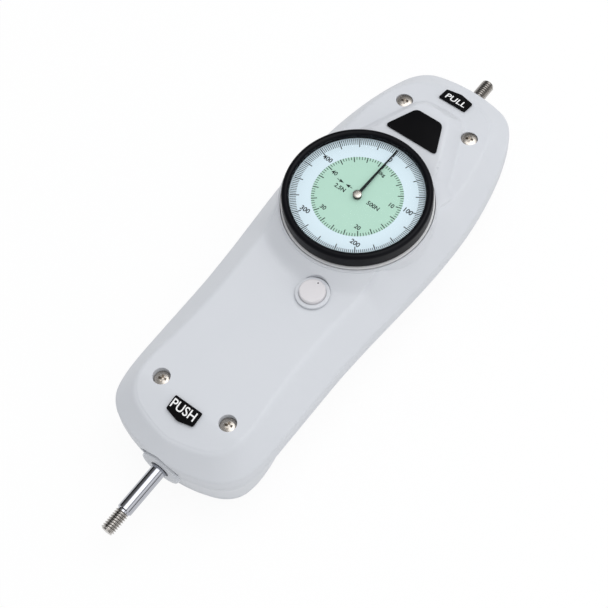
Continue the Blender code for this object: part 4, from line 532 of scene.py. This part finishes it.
def frontStations():
    lip, top = cover["lipRound"], cover["lipTopZ"]
    low = cover["partingZ"] + cover["partingGap"] / 2
    stations = [(0.0, low), (0.0, (low + top) / 2), (0.0, top - lip), (0.006, top - 0.4 * lip)]
    stations.append((0.022, top - 0.06 * lip))
    shares = [0.045, 0.1, 0.18, 0.26, 0.34, 0.42, 0.5, 0.58, 0.66, 0.74, 0.81, 0.87]
    shares += [0.91, 0.95, 0.99, 1.03, 1.07, 1.12, cover["creaseEnd"]]
    for share in shares:
        rise = cover["slopeRise"] * share
        if share >= cover["roundFrom"]:
            rise = 1 - cover["roundCurve"] * (cover["creaseEnd"] - share) ** 2
        stations.append((share, rise))
    return stations


def coverSkin(stations, columns, heightAt, inset, flip, taperAt=None):
    steps = cover["stepsAlong"]
    band = smoothPath(bandShares, steps)
    crease = smoothPath(creaseShares, steps)
    if inset:
        band = insetPath(band, inset)
        crease = insetPath(crease, inset)
    across = len(stations) + columns - 1
    along = len(band) - 1
    bm = bmesh.new()
    bmesh.ops.create_grid(bm, x_segments=across, y_segments=along, size=0.5)
    for vert in bm.verts:
        column = round((vert.co.x + 0.5) * across)
        row = round((vert.co.y + 0.5) * along)
        share = stations[min(column, len(stations) - 1)][0]
        if taperAt:
            share *= taperAt(band[row].y)
        spot = band[row].lerp(crease[row], share)
        spot.x = max(spot.x, 0)
        if column >= len(stations):
            spot.x *= (across - column) / columns
        vert.co = (spot.x, spot.y, heightAt(spot, column, crease[row]))
    bmesh.ops.remove_doubles(bm, verts=bm.verts, dist=mergeGap)
    bmesh.ops.dissolve_degenerate(bm, edges=bm.edges, dist=mergeGap)
    flat = [face for face in bm.faces if max(vert.co.x for vert in face.verts) < mergeGap]
    bmesh.ops.delete(bm, geom=flat, context="FACES")  # no fin is left in the middle plane
    bmesh.ops.mirror(bm, geom=bm.verts[:] + bm.edges[:] + bm.faces[:], axis="X", merge_dist=mergeGap)
    bmesh.ops.remove_doubles(bm, verts=bm.verts, dist=mergeGap)
    bmesh.ops.recalc_face_normals(bm, faces=bm.faces)
    up = sum(face.normal.z * face.calc_area() for face in bm.faces)
    if (up > 0) == flip:
        bmesh.ops.reverse_faces(bm, faces=bm.faces)
    return bm


def mendSkin(bm, rimZ):
    def offRim(vert):
        return abs(vert.co.z - rimZ) > cover["rimReach"]

    for attempt in range(cover["mendTries"]):
        spots = {}  # where rows crowd together at a tip, the skin is opened and filled anew
        for edge in bm.edges:
            faces = len(edge.link_faces)
            if faces > 2 or (faces < 2 and any(offRim(vert) for vert in edge.verts)):
                for vert in edge.verts:
                    spots[tuple(round(c / cover["mendCell"]) for c in vert.co)] = vert.co.copy()
        if not spots:
            break
        spoiled = [
            vert for vert in bm.verts
            if offRim(vert) and any((vert.co - at).length < cover["mendReach"] for at in spots.values())
        ]
        bmesh.ops.delete(bm, geom=spoiled, context="VERTS")
        gaps = [edge for edge in bm.edges if edge.is_boundary and any(offRim(vert) for vert in edge.verts)]
        bmesh.ops.holes_fill(bm, edges=gaps, sides=0)
        bmesh.ops.triangulate(bm, faces=[face for face in bm.faces if len(face.verts) > 4])
    bmesh.ops.recalc_face_normals(bm, faces=bm.faces)


def joinSkins(outer, inner, rimZ):
    mendSkin(outer, rimZ)
    mendSkin(inner, rimZ)
    mesh = bpy.data.meshes.new("inner")
    inner.to_mesh(mesh)
    inner.free()
    outer.from_mesh(mesh)
    rim = [edge for edge in outer.edges if edge.is_boundary]
    bmesh.ops.triangle_fill(outer, edges=rim, use_beauty=False, use_dissolve=False, normal=(0, 0, 1))
    bmesh.ops.recalc_face_normals(outer, faces=outer.faces)
    return outer


def makeFrontCover():
    stations = frontStations()
    low = stations[0][1]
    wall = cover["wall"]

    def outerHeight(spot, column, crease, drop=0):
        share, level = stations[min(column, len(stations) - 1)]
        if column < cover["lipStations"]:
            return level if column == 0 else level - drop
        base = faceHeight(spot.x, spot.y)
        if share < cover["creaseEnd"] and column < len(stations):
            top = faceHeight(crease.x, crease.y)
            base = cover["lipTopZ"] + level * (top - cover["lipTopZ"])
        return softMax(base, hoodHeight(spot.x, spot.y), hood["fillet"]) - drop

    def innerHeight(spot, column, crease):
        return max(outerHeight(spot, column, crease, wall), low)

    outer = coverSkin(stations, cover["faceColumns"], outerHeight, 0, flip=False)
    inner = coverSkin(stations, cover["innerColumns"], innerHeight, wall, flip=True)
    body = joinSkins(outer, inner, low)
    inside, outside = cover["holeRadius"] - cover["collarInside"], cover["collarRadius"]
    top, edge = cover["collarTop"], cover["collarEdge"]
    added = spinProfile(
        [(inside, top), (outside - edge, top), (outside, top - edge), (outside, cover["collarLow"]),
         (inside, cover["collarLow"])],
        steps=192, closed=True, at=dialCentre,
    )
    for vert in added.verts:  # the collar ends higher where the release lever swings under it
        if vert.co.z < cover["collarLow"] + 1 * mm:
            apart = vert.co - dialCentre
            vert.co.z += cover["collarRise"] * apart.y ** 2 / (apart.x ** 2 + apart.y ** 2)
    for i in range(1, 5):
        at = centreOf(f"cover_screw_{i}")
        post = addDisc(added, cover["screwPost"], low, cover["postTop"], at, sides=48)
        for vert in post:
            if vert.co.z > cover["postTop"] - 1 * mm:
                vert.co.z = faceHeight(vert.co.x, vert.co.y) - cover["postCover"]
    dialHole = bmesh.new()
    addDisc(dialHole, cover["holeRadius"], cuts["dialLow"], cuts["dialHigh"], dialCentre, sides=192)
    tools = bmesh.new()
    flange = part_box("button_collar")
    radius = (flange[1].x - flange[0].x) / 2 + cuts["wellGap"]
    seat = flange[1].z - cuts["wellSeat"]
    floor, roof = seat - cuts["wellDeep"], seat + cuts["wellHigh"]
    spinProfile(
        [(0, floor), (cuts["wellRadius"], floor), (cuts["wellRadius"], seat), (radius, seat),
         (radius, roof), (0, roof)],
        at=buttonCentre, bm=tools,
    )
    shank, radius, roof = cuts["shankRadius"], cuts["headRadius"], cuts["headHigh"]
    for i in range(1, 5):
        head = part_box(f"cover_screw_{i}")
        under = head[1].z - cuts["headDeep"]
        spinProfile(
            [(0, low - 1 * mm), (shank, low - 1 * mm), (shank, under), (radius, under),
             (radius, roof), (0, roof)],
            steps=64, at=(head[0] + head[1]) / 2, bm=tools,
        )
    for end, (radius, start, stop) in (
        (cover["pushY"], cuts["pushArch"]), (cover["pullY"], cuts["pullArch"]),
    ):
        spinProfile(
            [(0, end + start), (radius, end + start), (radius, end + stop), (0, end + stop)],
            at=(0, shaftZ), axis="Y", bm=tools,
        )
    body = cutAway(body, [("UNION", added), ("DIFFERENCE", dialHole), ("DIFFERENCE", tools)])
    newPiece("front_cover_skin", body, "paintedCase", "housing", ["front_cover"])


def rearStations():
    top = cover["partingZ"] - cover["partingGap"] / 2
    land = top - cover["rearLand"]
    stations = [(0.0, top), (0.0, land), (0.01, land - 0.03 * land), (0.03, 0.94 * land)]
    shares = [0.1, 0.2, 0.32, 0.44, 0.56, 0.68, 0.8]
    stations += [(share, land * (1 - cover["rearSlope"] * share)) for share in shares]
    end = cover["rearEnd"]
    for share in (0.87, 0.93, 0.99, 1.05, 1.1, end):
        stations.append((share, land * cover["rearCurve"] * (end - share) ** 2))
    return stations


def makeRearCover():
    stations = rearStations()
    wall = cover["wall"]

    def outerHeight(spot, column, crease):
        return stations[column][1] if column < len(stations) else 0

    def innerHeight(spot, column, crease):
        return outerHeight(spot, column, crease) + (wall if column else 0)

    def taperAt(y):
        along = (y - cover["pushY"] - cover["fullEnd"]) / cover["fullFade"]
        return cover["endTaper"] + (1 - cover["endTaper"]) * eased(along)

    outer = coverSkin(stations, cover["rearColumns"], outerHeight, 0, True, taperAt)
    inner = coverSkin(stations, cover["rearColumns"], innerHeight, wall, False, taperAt)
    body = joinSkins(outer, inner, stations[0][1])
    posts = bmesh.new()
    edge = cuts["bossEdge"]
    for end, (radius, start, stop) in (
        (cover["pushY"], cuts["pushBoss"]), (cover["pullY"], cuts["pullBoss"]),
    ):
        low, high = end + start, end + stop
        spinProfile(
            [(0, low), (radius - edge, low), (radius - 0.3 * edge, low + 0.3 * edge),
             (radius, low + edge), (radius, high - edge), (radius - 0.3 * edge, high - 0.3 * edge),
             (radius - edge, high), (0, high)],
            at=(0, shaftZ), axis="Y", bm=posts,
        )
    bores = bmesh.new()
    mouth, seat = cuts["mouthRadius"], cuts["seatRadius"]
    start, lip = cover["pushY"] - cuts["mouthPast"], cover["pushY"] + cuts["pushLip"]
    deep = cover["pushY"] + cuts["pushDeep"]
    spinProfile(
        [(0, start), (mouth, start), (mouth, lip), (seat, lip), (seat, deep), (0, deep)],
        at=(0, shaftZ), axis="Y", bm=bores,
    )
    deep, lip = cover["pullY"] - cuts["pullDeep"], cover["pullY"] - cuts["pullLip"]
    end = cover["pullY"] + cuts["mouthPast"]
    spinProfile(
        [(0, deep), (seat, deep), (seat, lip), (mouth, lip), (mouth, end), (0, end)],
        at=(0, shaftZ), axis="Y", bm=bores,
    )
    for i in range(1, 5):
        low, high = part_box(f"mount_insert_{i}")
        radius = (high.x - low.x) / 2 + cuts["insertGap"]
        addDisc(bores, radius, -1 * mm, high.z + cuts["insertGap"], (low + high) / 2, sides=48)
    body = cutAway(body, [("UNION", posts), ("DIFFERENCE", bores)])
    newPiece("rear_cover_skin", body, "paintedCase", "housing", ["rear_cover"])


makeFrontCover()
print("front cover made")
makeRearCover()
print("rear cover made")


# Dial head

def ringOf(node, hole):
    low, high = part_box(node)
    outer = (high.x - low.x) / 2
    return [(outer, high.z), (outer, low.z), (hole, low.z), (hole, high.z)]


dial = {
    "faceZ": 46.0 * mm, "printThickness": 0.03 * mm, "zeroTurn": -1.5, "holeRadius": 1.6 * mm,
    "bold": 0.02, "greenRadius": 17.4 * mm, "tickWidth": 0.24 * mm, "longWidth": 0.36 * mm,
    "outerTicks": {
        "count": 200, "start": 25.4 * mm, "short": 2.4 * mm, "long": 3.6 * mm, "longEvery": 10,
    },
    "innerTicks": {
        "count": 100, "pitch": 3.5305, "start": 17.4 * mm, "short": 1.3 * mm, "long": 2.3 * mm,
        "longEvery": 5,
    },
    "outerNumbers": {"radius": 20.2 * mm, "height": 2.0 * mm, "step": 72},
    "innerNumbers": {"radius": 13.5 * mm, "height": 1.8 * mm, "step": 70.61},
    "words": (
        # word, place across and along the dial, height
        ("50kg", 1.3 * mm, 13.0 * mm, 1.9 * mm), ("500N", 7.3 * mm, 0.0, 1.8 * mm),
        ("2.5N", -7.5 * mm, -0.8 * mm, 1.8 * mm),
    ),
    "arrows": {
        "x": -7.15 * mm, "y": 1.7 * mm, "head": 0.75 * mm, "stretch": 1.7, "gap": 0.45 * mm,
        "tail": 1.1 * mm, "line": 0.24 * mm,
    },
}


def dialSpot(radius, degrees, z):
    angle = math.radians(90 - degrees + dial["zeroTurn"])
    return Vector((radius * math.cos(angle), dialCentre.y + radius * math.sin(angle), z))


ringStack = {
    # heights of the zero ring under its domed crystal
    "crownZ": 47.8 * mm, "low": 43.0 * mm, "outer": 28.55 * mm, "opening": 25.55 * mm,
    "land": 26.7 * mm, "landLow": 44.9 * mm, "lowRadius": 25.6 * mm, "lowEdge": 0.25 * mm,
    "retainerLow": 47.35 * mm, "retainerTop": 47.55 * mm, "retainerPlay": 0.05 * mm,
    "flangeLow": 46.85 * mm, "flangeHigh": 47.25 * mm, "flangePlay": 0.1 * mm,
    "domePower": 2.6, "domeWall": 0.4 * mm, "domePlay": 0.15 * mm, "domeSteps": 14,
    "spacerTop": 46.8 * mm, "spacerRadius": 25.8 * mm, "cupDrop": 0.3 * mm, "cupGap": 0.3 * mm,
    "cupWall": 1.6 * mm, "cupFloor": 1.4 * mm, "cupBore": 2.2 * mm,
}


def makeBezel():
    s = ringStack
    low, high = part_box("bezel")
    outer, inner, hole = s["outer"], s["land"], s["opening"]
    crown = (outer - hole) / 2
    points = [
        (hole + crown - crown * math.cos(a), s["crownZ"] + crown * math.sin(a))
        for a in [math.radians(k * 15) for k in range(13)]
    ]
    play = s["retainerPlay"]
    points += [(outer, s["low"] + s["lowEdge"]), (outer - s["lowEdge"], s["low"])]
    points += [(s["lowRadius"], s["low"]), (s["lowRadius"], s["landLow"]), (inner, s["landLow"])]
    points += [(inner, s["retainerTop"] + play), (hole, s["retainerTop"] + play)]
    bm = spinProfile(points, steps=160, closed=True, at=dialCentre)
    newPiece("bezel_ring", bm, "ringBlack", "zero_ring", ["bezel"])

    ring = [
        (inner - play, s["retainerTop"]), (inner - play, s["retainerLow"]),
        (hole + play, s["retainerLow"]), (hole + play, s["retainerTop"]),
    ]
    bm = spinProfile(ring, steps=160, closed=True, at=dialCentre)
    newPiece("crystal_retainer", bm, "ringBlack", "zero_ring", ["crystal_ring"])

    edge = hole - s["domePlay"]
    flange = inner - s["flangePlay"]
    shares = [k / s["domeSteps"] for k in range(s["domeSteps"] + 1)]
    apex = high.z
    under = apex - s["domeWall"]
    power = s["domePower"]
    outside = [(edge * t, apex - (apex - s["flangeHigh"]) * t ** power) for t in shares]
    inside = [(edge * t, under - (under - s["flangeLow"]) * t ** power) for t in reversed(shares)]
    dome = outside + [(flange, s["flangeHigh"]), (flange, s["flangeLow"])] + inside
    bm = spinProfile(dome, steps=128, at=dialCentre)
    newPiece("clear_crystal", bm, clearGlass(), "zero_ring", ["crystal"])

    low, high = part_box("crystal_spacer")
    hole, top = s["spacerRadius"], s["spacerTop"]
    spacer = [(flange, top), (flange, low.z), (hole, low.z), (hole, top)]
    bm = spinProfile(spacer, steps=160, closed=True, at=dialCentre)
    newPiece("dial_spacer", bm, "plateBlack", "zero_ring", ["crystal_spacer"])

    bm = spinProfile(ringOf("dial_plate", dial["holeRadius"]), steps=160, closed=True, at=dialCentre)
    newPiece("dial_face", bm, "dialWhite", "zero_ring", ["dial_plate"])

    low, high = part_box("dial_case")
    outer = cover["holeRadius"] - s["cupGap"]
    inner = outer - s["cupWall"]
    rim = s["low"] - s["cupDrop"]
    floor, bore = low.z + s["cupFloor"], s["cupBore"]
    bm = spinProfile(
        [(outer, rim), (outer, low.z), (bore, low.z), (bore, floor), (inner, floor), (inner, rim)],
        steps=160, closed=True, at=dialCentre,
    )
    newPiece("dial_case_cup", bm, "satinCup", "housing", ["dial_case"])


def addTick(bm, radius, length, degrees, z, width):
    spot = dialSpot(radius - length / 2, degrees, z)
    turn = Matrix.Rotation(math.radians(dial["zeroTurn"] - degrees), 4, "Z")
    size = (width, length, dial["printThickness"])
    addBlock(bm, size, Matrix.Translation(spot) @ turn)


def makeDialPrint():
    z = dial["faceZ"] + dial["printThickness"]
    bm = spinProfile(
        [(dial["greenRadius"], z), (dial["greenRadius"], dial["faceZ"]),
         (dial["holeRadius"], dial["faceZ"]), (dial["holeRadius"], z)],
        steps=160, closed=True, at=dialCentre,
    )
    newPiece("dial_green_field", bm, "dialGreen", "zero_ring")
    ink = z + dial["printThickness"] / 2
    bm = bmesh.new()
    outer = dial["outerTicks"]
    for k in range(outer["count"]):
        minor = k % outer["longEvery"]
        length = outer["short"] if minor else outer["long"]
        width = dial["tickWidth"] if minor else dial["longWidth"]
        degrees = 360 * k / outer["count"]
        addTick(bm, outer["start"], length, degrees, ink - dial["printThickness"], width)
    newPiece("dial_newton_ticks", bm, "printBlack", "zero_ring")
    bm = bmesh.new()
    inner = dial["innerTicks"]
    for k in range(inner["count"] + 1):
        minor = k % inner["longEvery"]
        length = inner["short"] if minor else inner["long"]
        width = dial["tickWidth"] if minor else dial["longWidth"]
        addTick(bm, inner["start"], length, inner["pitch"] * k, ink, width)
    newPiece("dial_kilogram_ticks", bm, "printBlack", "zero_ring")

    bm = bmesh.new()
    turn = Matrix.Rotation(math.radians(dial["zeroTurn"]), 4, "Z")
    words = []
    numbers = dial["outerNumbers"]
    for k in range(5):
        spot = dialSpot(numbers["radius"], numbers["step"] * k, dial["faceZ"])
        words.append((str(100 * k), spot, numbers["height"]))
    numbers = dial["innerNumbers"]
    for k in range(1, 5):
        spot = dialSpot(numbers["radius"], numbers["step"] * k, z)
        words.append((str(10 * k), spot, numbers["height"]))
    for word, x, y, height in dial["words"]:
        words.append((word, dialCentre + Vector((x, y, z)), height))
    for word, spot, height in words:
        place = Matrix.Translation(spot) @ turn
        addWord(bm, word, height, dial["printThickness"], place, bold=dial["bold"])
    arrows = dial["arrows"]
    for side in (-1, 1):
        head = bmesh.ops.create_cone(
            bm, cap_ends=True, segments=3, radius1=arrows["head"], radius2=arrows["head"],
            depth=dial["printThickness"],
        )["verts"]
        bmesh.ops.rotate(bm, verts=head, matrix=Matrix.Rotation(side * math.pi / 2, 3, "Z"))
        bmesh.ops.scale(bm, verts=head, vec=(arrows["stretch"], 1, 1))
        reach = side * (arrows["gap"] + arrows["head"] * arrows["stretch"])
        tail = addBlock(
            bm, (arrows["tail"], arrows["line"], dial["printThickness"]),
            Matrix.Translation((side * (arrows["head"] + arrows["tail"] / 2), 0, 0)),
        )
        place = Matrix.Translation(dialCentre + Vector((arrows["x"], arrows["y"], ink))) @ turn
        bmesh.ops.transform(bm, verts=head + tail, matrix=place @ Matrix.Translation((reach, 0, 0)))
    newPiece("dial_numbers", bm, "printBlack", "zero_ring")


pointerSet = {
    "turn": -1.3, "hub": 1.7 * mm, "root": 0.6 * mm, "tip": 0.2 * mm, "thick": 0.25 * mm,
    "sunk": 0.02 * mm, "stem": 0.7 * mm,
    # the cap's outline: share of its radius, depth under its top
    "cap": ((0, 0), (0.55, 0), (0.85, 0.08 * mm), (1, 0.22 * mm), (1, 0.4 * mm)),
}


def makePointerCap():
    low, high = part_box("pointer_cap")
    radius, stem = (high.x - low.x) / 2, pointerSet["stem"]
    points = [(share * radius, high.z - depth) for share, depth in pointerSet["cap"]]
    points += [(stem, points[-1][1]), (stem, low.z), (0, low.z)]
    bm = spinProfile(points, steps=64, at=(low + high) / 2)
    newPiece("pointer_hub_cap", bm, "screwNickel", "pointer_arbor", ["pointer_cap"])


def makePointer():
    low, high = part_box("pointer")
    reach = high.y - dialCentre.y
    hub, root, thick = pointerSet["hub"], pointerSet["root"], pointerSet["thick"]
    bm = bmesh.new()
    addDisc(bm, hub, low.z, high.z, dialCentre, sides=48)
    middle = Matrix.Translation((0, (reach + hub / 2) / 2, 0))
    blade = addBlock(bm, (2 * root, reach - hub / 2, thick), middle)
    for vert in blade:
        if vert.co.y > reach / 2:
            vert.co.x *= pointerSet["tip"] / root
    turn = Matrix.Rotation(math.radians(pointerSet["turn"]), 4, "Z")
    place = Matrix.Translation((0, dialCentre.y, high.z - thick / 2 - pointerSet["sunk"]))
    bmesh.ops.transform(bm, verts=blade, matrix=place @ turn)
    newPiece("pointer_needle", bm, "printBlack", "pointer_arbor", ["pointer"])


makeBezel()
makeDialPrint()
makePointer()
makePointerCap()
print("dial made")


# Button

buttonSet = {
    "round": 0.7 * mm, "pocket": 3.9 * mm, "roof": 1.5 * mm,
    "dot": (-0.1 * mm, 3.65 * mm, 0), "dotRadius": 0.3 * mm, "dotSunk": 0.02 * mm, "dotProud": 0.004 * mm,
    "collarBore": 5.15 * mm, "collarSleeve": 6.1 * mm, "flange": 1.0 * mm, "flangeEdge": 0.4 * mm,
    "stemHole": 1.8 * mm, "collarFloor": 1.5 * mm,
}


def makeButton():
    s = buttonSet
    low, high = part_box("button_cap")
    radius = (high.x - low.x) / 2
    top, edge = high.z, s["round"]
    points = [(0, top), (radius - edge, top)]
    points += [
        (radius - edge + edge * math.sin(a), top - edge + edge * math.cos(a))
        for a in [math.radians(15 * k) for k in range(1, 7)]
    ]
    points += [(radius, low.z), (s["pocket"], low.z), (s["pocket"], top - s["roof"]), (0, top - s["roof"])]
    bm = spinProfile(points, steps=96, at=buttonCentre)
    newPiece("button_cap_shell", bm, "buttonPlastic", "button_head", ["button_cap"])
    bm = bmesh.new()
    dot = buttonCentre + Vector(s["dot"])
    addDisc(bm, s["dotRadius"], top - s["dotSunk"], top + s["dotProud"], dot, sides=24)
    newPiece("button_index_dot", bm, "printBlack", "button_head")
    low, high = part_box("button_collar")
    radius = (high.x - low.x) / 2
    seat, floor = high.z - s["flange"], low.z + s["collarFloor"]
    bore, sleeve, edge, hole = s["collarBore"], s["collarSleeve"], s["flangeEdge"], s["stemHole"]
    points = [(bore, high.z), (radius - edge, high.z), (radius - 0.3 * edge, high.z - 0.3 * edge)]
    points += [(radius, high.z - edge), (radius, seat), (sleeve, seat), (sleeve, low.z)]
    points += [(hole, low.z), (hole, floor), (bore, floor)]
    bm = spinProfile(points, steps=96, closed=True, at=buttonCentre)
    newPiece("button_collar_ring", bm, "paintedCase", "housing", ["button_collar"])


makeButton()
print("button made")


# Shaft ends and threads

shaftSet = {
    "rodRadius": 3.0 * mm, "threadRadius": 2.75 * mm, "threadRoot": 2.0 * mm, "threadLength": 8.8 * mm,
    "pitch": 1.0 * mm, "relief": 0.8 * mm, "reliefRadius": 2.4 * mm, "chamfer": 0.6 * mm,
    "rodEdge": 0.3 * mm, "stepsPerTurn": 36,
}


def threadMesh(tipY, inward):
    s = shaftSet
    pitch, root, crest = s["pitch"], s["threadRoot"], s["threadRadius"]
    turns = math.ceil(s["threadLength"] / pitch) + 2
    trim = 1.5 * pitch  # cut off where the groove runs in
    bm = bmesh.new()
    profile = ((root, 0), (root, 0.12), (crest, 0.44), (crest, 0.56), (root, 0.88), (root, 1))
    verts = [bm.verts.new((r, 0, share * pitch)) for r, share in profile]
    edges = [bm.edges.new(pair) for pair in zip(verts, verts[1:])]
    bmesh.ops.spin(
        bm, geom=verts + edges, cent=(0, 0, 0), axis=(0, 0, 1), angle=fullTurn * turns,
        steps=s["stepsPerTurn"] * turns, dvec=(0, 0, pitch / s["stepsPerTurn"]),
    )
    bmesh.ops.remove_doubles(bm, verts=bm.verts, dist=mergeGap)
    for height, keepAbove in ((trim, True), (trim + s["threadLength"], False)):
        bmesh.ops.bisect_plane(
            bm, geom=bm.verts[:] + bm.edges[:] + bm.faces[:], plane_co=(0, 0, height),
            plane_no=(0, 0, 1), clear_inner=keepAbove, clear_outer=not keepAbove,
        )
    bmesh.ops.remove_doubles(bm, verts=bm.verts, dist=mergeGap)
    bmesh.ops.holes_fill(bm, edges=[edge for edge in bm.edges if edge.is_boundary], sides=0)
    bmesh.ops.recalc_face_normals(bm, faces=bm.faces)
    bmesh.ops.translate(bm, verts=bm.verts, vec=(0, 0, -trim))
    for vert in bm.verts:  # chamfered tip, at height zero
        radius = math.hypot(vert.co.x, vert.co.y)
        allowed = crest - max(s["chamfer"] - vert.co.z, 0)
        if radius > allowed:
            vert.co.x *= allowed / radius
            vert.co.y *= allowed / radius
    bmesh.ops.transform(bm, verts=bm.verts, matrix=Matrix.Rotation(-inward * math.pi / 2, 4, "X"))
    bmesh.ops.translate(bm, verts=bm.verts, vec=(0, tipY, shaftZ))
    return bm


def makeShaft():
    s = shaftSet
    for node, name, tip, inward in (
        ("push_rod", "push_rod_bright", cadLow[1], 1), ("pull_stud", "pull_stud_bright", cadHigh[1], -1),
    ):
        low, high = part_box(node)
        start = tip + inward * s["threadLength"]
        neck = start + inward * s["relief"]
        end = high.y if inward > 0 else low.y
        radius, edge = s["rodRadius"], s["rodEdge"]
        points = [
            (0, start), (s["reliefRadius"], start), (s["reliefRadius"], neck), (radius - edge, neck),
            (radius, neck + inward * edge), (radius, end), (0, end),
        ]
        bm = spinProfile(points, steps=72, at=(0, shaftZ), axis="Y")
        bmesh.ops.recalc_face_normals(bm, faces=bm.faces)
        newPiece(name, bm, "chromedRod", "shaft", [node])
        newPiece(f"{node}_thread", threadMesh(tip, inward), "threadSteel", "shaft")


makeShaft()
print("shaft made")


# Screws and inserts

screwSet = {
    "radius": 3.1 * mm, "height": 1.9 * mm, "shank": 1.5 * mm, "crown": 0.5 * mm, "pullRaise": 0.6 * mm,
    "crownShares": (0.3, 0.5, 0.65, 0.78, 0.88, 0.95, 1.0), "slotTurns": (20, 110), "slotSunk": 0.2 * mm,
    "slot": (4.2 * mm, 1.05 * mm, 2.2 * mm), "slotTaper": (0.35, 0.8), "insertBore": 2.1 * mm,
}


def crossSlots(at, top):
    s = screwSet
    slots = []
    for turn in s["slotTurns"]:
        tool = bmesh.new()
        for vert in addBlock(tool, s["slot"], Matrix.Identity(4)):
            if vert.co.z < 0:
                vert.co.x *= s["slotTaper"][0]
                vert.co.y *= s["slotTaper"][1]
        spot = Matrix.Translation((at.x, at.y, top - s["slotSunk"]))
        spot = spot @ Matrix.Rotation(math.radians(turn), 4, "Z")
        bmesh.ops.transform(tool, verts=tool.verts, matrix=spot)
        slots.append(("DIFFERENCE", tool))
    return slots


def makeFasteners():
    s = screwSet
    radius, shank = s["radius"], s["shank"]
    for i in range(1, 5):
        low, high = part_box(f"cover_screw_{i}")
        at = (low + high) / 2
        top = high.z + (s["pullRaise"] if at.y > 0 else 0)
        under = top - s["height"]
        points = [(0, top)]
        points += [(radius * share, top - s["crown"] * share ** 3) for share in s["crownShares"]]
        points += [(radius, under), (shank, under), (shank, low.z), (0, low.z)]
        body = cutAway(spinProfile(points, steps=64, at=at), crossSlots(at, top))
        newPiece(f"cover_screw_head_{i}", body, "screwNickel", "housing", [f"cover_screw_{i}"])
        ring = ringOf(f"mount_insert_{i}", s["insertBore"])
        body = spinProfile(ring, steps=48, closed=True, at=centreOf(f"mount_insert_{i}"))
        newPiece(f"insert_ring_{i}", body, "turnedBrass", "housing", [f"mount_insert_{i}"])


makeFasteners()
print("fasteners made")


# Plates and words

plates = {
    "nameLong": 12.0 * mm, "nameShort": 6.1 * mm, "nameLow": 33.7 * mm, "nameHigh": 46.6 * mm,
    "nameCorner": 1.7 * mm, "thickness": 0.5 * mm, "wordHalf": 6.2 * mm, "wordSide": 2.95 * mm,
    "wordRoof": 1.5 * mm, "wordLift": 0.4 * mm, "wordCorner": 0.5 * mm, "letterDepth": 0.05 * mm,
    "letterBold": 0.008, "rimRound": 0.12 * mm,
    "words": (
        # word, place along the cover, way the roof points, height, stretch, shift of the letters
        ("PUSH", cover["pushY"] + 17.7 * mm, -1, 3.6 * mm, 0.93, (-0.3 * mm, 0.2 * mm)),
        ("PULL", cover["pullY"] - 12.3 * mm, 1, 3.0 * mm, 1.0, (0.2 * mm, -0.1 * mm)),
    ),
}


def flatPlate(corners, rounds, thickness, matrix):
    bm = bmesh.new()
    face = bm.faces.new([bm.verts.new((x, y, 0)) for x, y in corners])
    raised = bmesh.ops.extrude_face_region(bm, geom=[face])["geom"]
    top = [item for item in raised if isinstance(item, bmesh.types.BMVert)]
    bmesh.ops.translate(bm, verts=top, vec=(0, 0, thickness))
    bmesh.ops.recalc_face_normals(bm, faces=bm.faces)
    upright = [e for e in bm.edges if abs(e.verts[0].co.z - e.verts[1].co.z) > thickness / 2]
    bmesh.ops.bevel(
        bm, geom=upright, offset=rounds, segments=5, profile=0.5, affect="EDGES", material=-1,
    )
    rim = [e for e in bm.edges if all(v.co.z > thickness / 2 for v in e.verts)]
    bmesh.ops.bevel(
        bm, geom=rim, offset=plates["rimRound"], segments=2, profile=0.5, affect="EDGES", material=-1,
    )
    bmesh.ops.transform(bm, verts=bm.verts, matrix=matrix)
    return bm


def makePlates():
    p = plates
    low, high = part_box("name_plate")
    corners = [
        (-p["nameLong"], p["nameLow"]), (p["nameLong"], p["nameLow"]),
        (p["nameShort"], p["nameHigh"]), (-p["nameShort"], p["nameHigh"]),
    ]
    place = Matrix.Translation((0, dialCentre.y, low.z))
    bm = flatPlate(corners, p["nameCorner"], high.z - low.z, place)
    newPiece("name_plate_blank", bm, "plateBlack", "housing", ["name_plate"])
    half, side, roof = p["wordHalf"], p["wordSide"], p["wordRoof"]
    for word, y, sign, height, widen, shift in p["words"]:
        corners = [(-half, -side), (half, -side), (half, side), (0, side + roof), (-half, side)]
        corners = [(x, sign * v) for x, v in corners]
        tilt = math.atan2(faceHeight(0, y + side) - faceHeight(0, y - side), 2 * side)
        place = Matrix.Translation((0, y, faceHeight(0, y))) @ Matrix.Rotation(tilt, 4, "X")
        place = place @ Matrix.Translation((0, 0, p["wordLift"]))
        node = f"{word.lower()}_plate"
        bm = flatPlate(corners, p["wordCorner"], p["thickness"], place)
        newPiece(f"{node}_label", bm, "plateBlack", "housing", [node])
        bm = bmesh.new()
        where = place @ Matrix.Translation((*shift, p["thickness"]))
        addWord(bm, word, height, p["letterDepth"], where, widen, p["letterBold"])
        newPiece(f"{word.lower()}_letters", bm, "printWhite", "housing")


makePlates()
print("plates made")


# Finishes of the pieces that the model already shapes

nodeFinishes = {
    "bareAluminium": ["chassis_plate", "spring_anchor", "carriage"],
    "brightSteel": [
        "chassis_screw_1", "chassis_screw_2", "chassis_screw_3", "chassis_screw_4",
        "anchor_screw_1", "anchor_screw_2", "case_screw_1", "case_screw_2", "case_screw_3",
        "spring_collar", "collar_nut", "pull_nut", "rack", "drive_pinion", "centre_pinion",
        "lever_pin", "button_stem", "brake_lever",
    ],
    "springSteel": ["load_spring", "button_spring", "button_clip"],
    "turnedBrass": [
        "bridge_plate", "bridge_pillar_1", "bridge_pillar_2", "bridge_pillar_3", "drive_gear",
        "hairspring_stud",
    ],
    "bushBronze": ["push_bush", "pull_bush", "hairspring"],
    "brakeCork": ["brake_pad"],
}
for finish, names in nodeFinishes.items():
    for name in names:
        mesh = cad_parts[name].data
        mesh.materials.clear()
        mesh.materials.append(finishOf(finish))
print("finishes set")
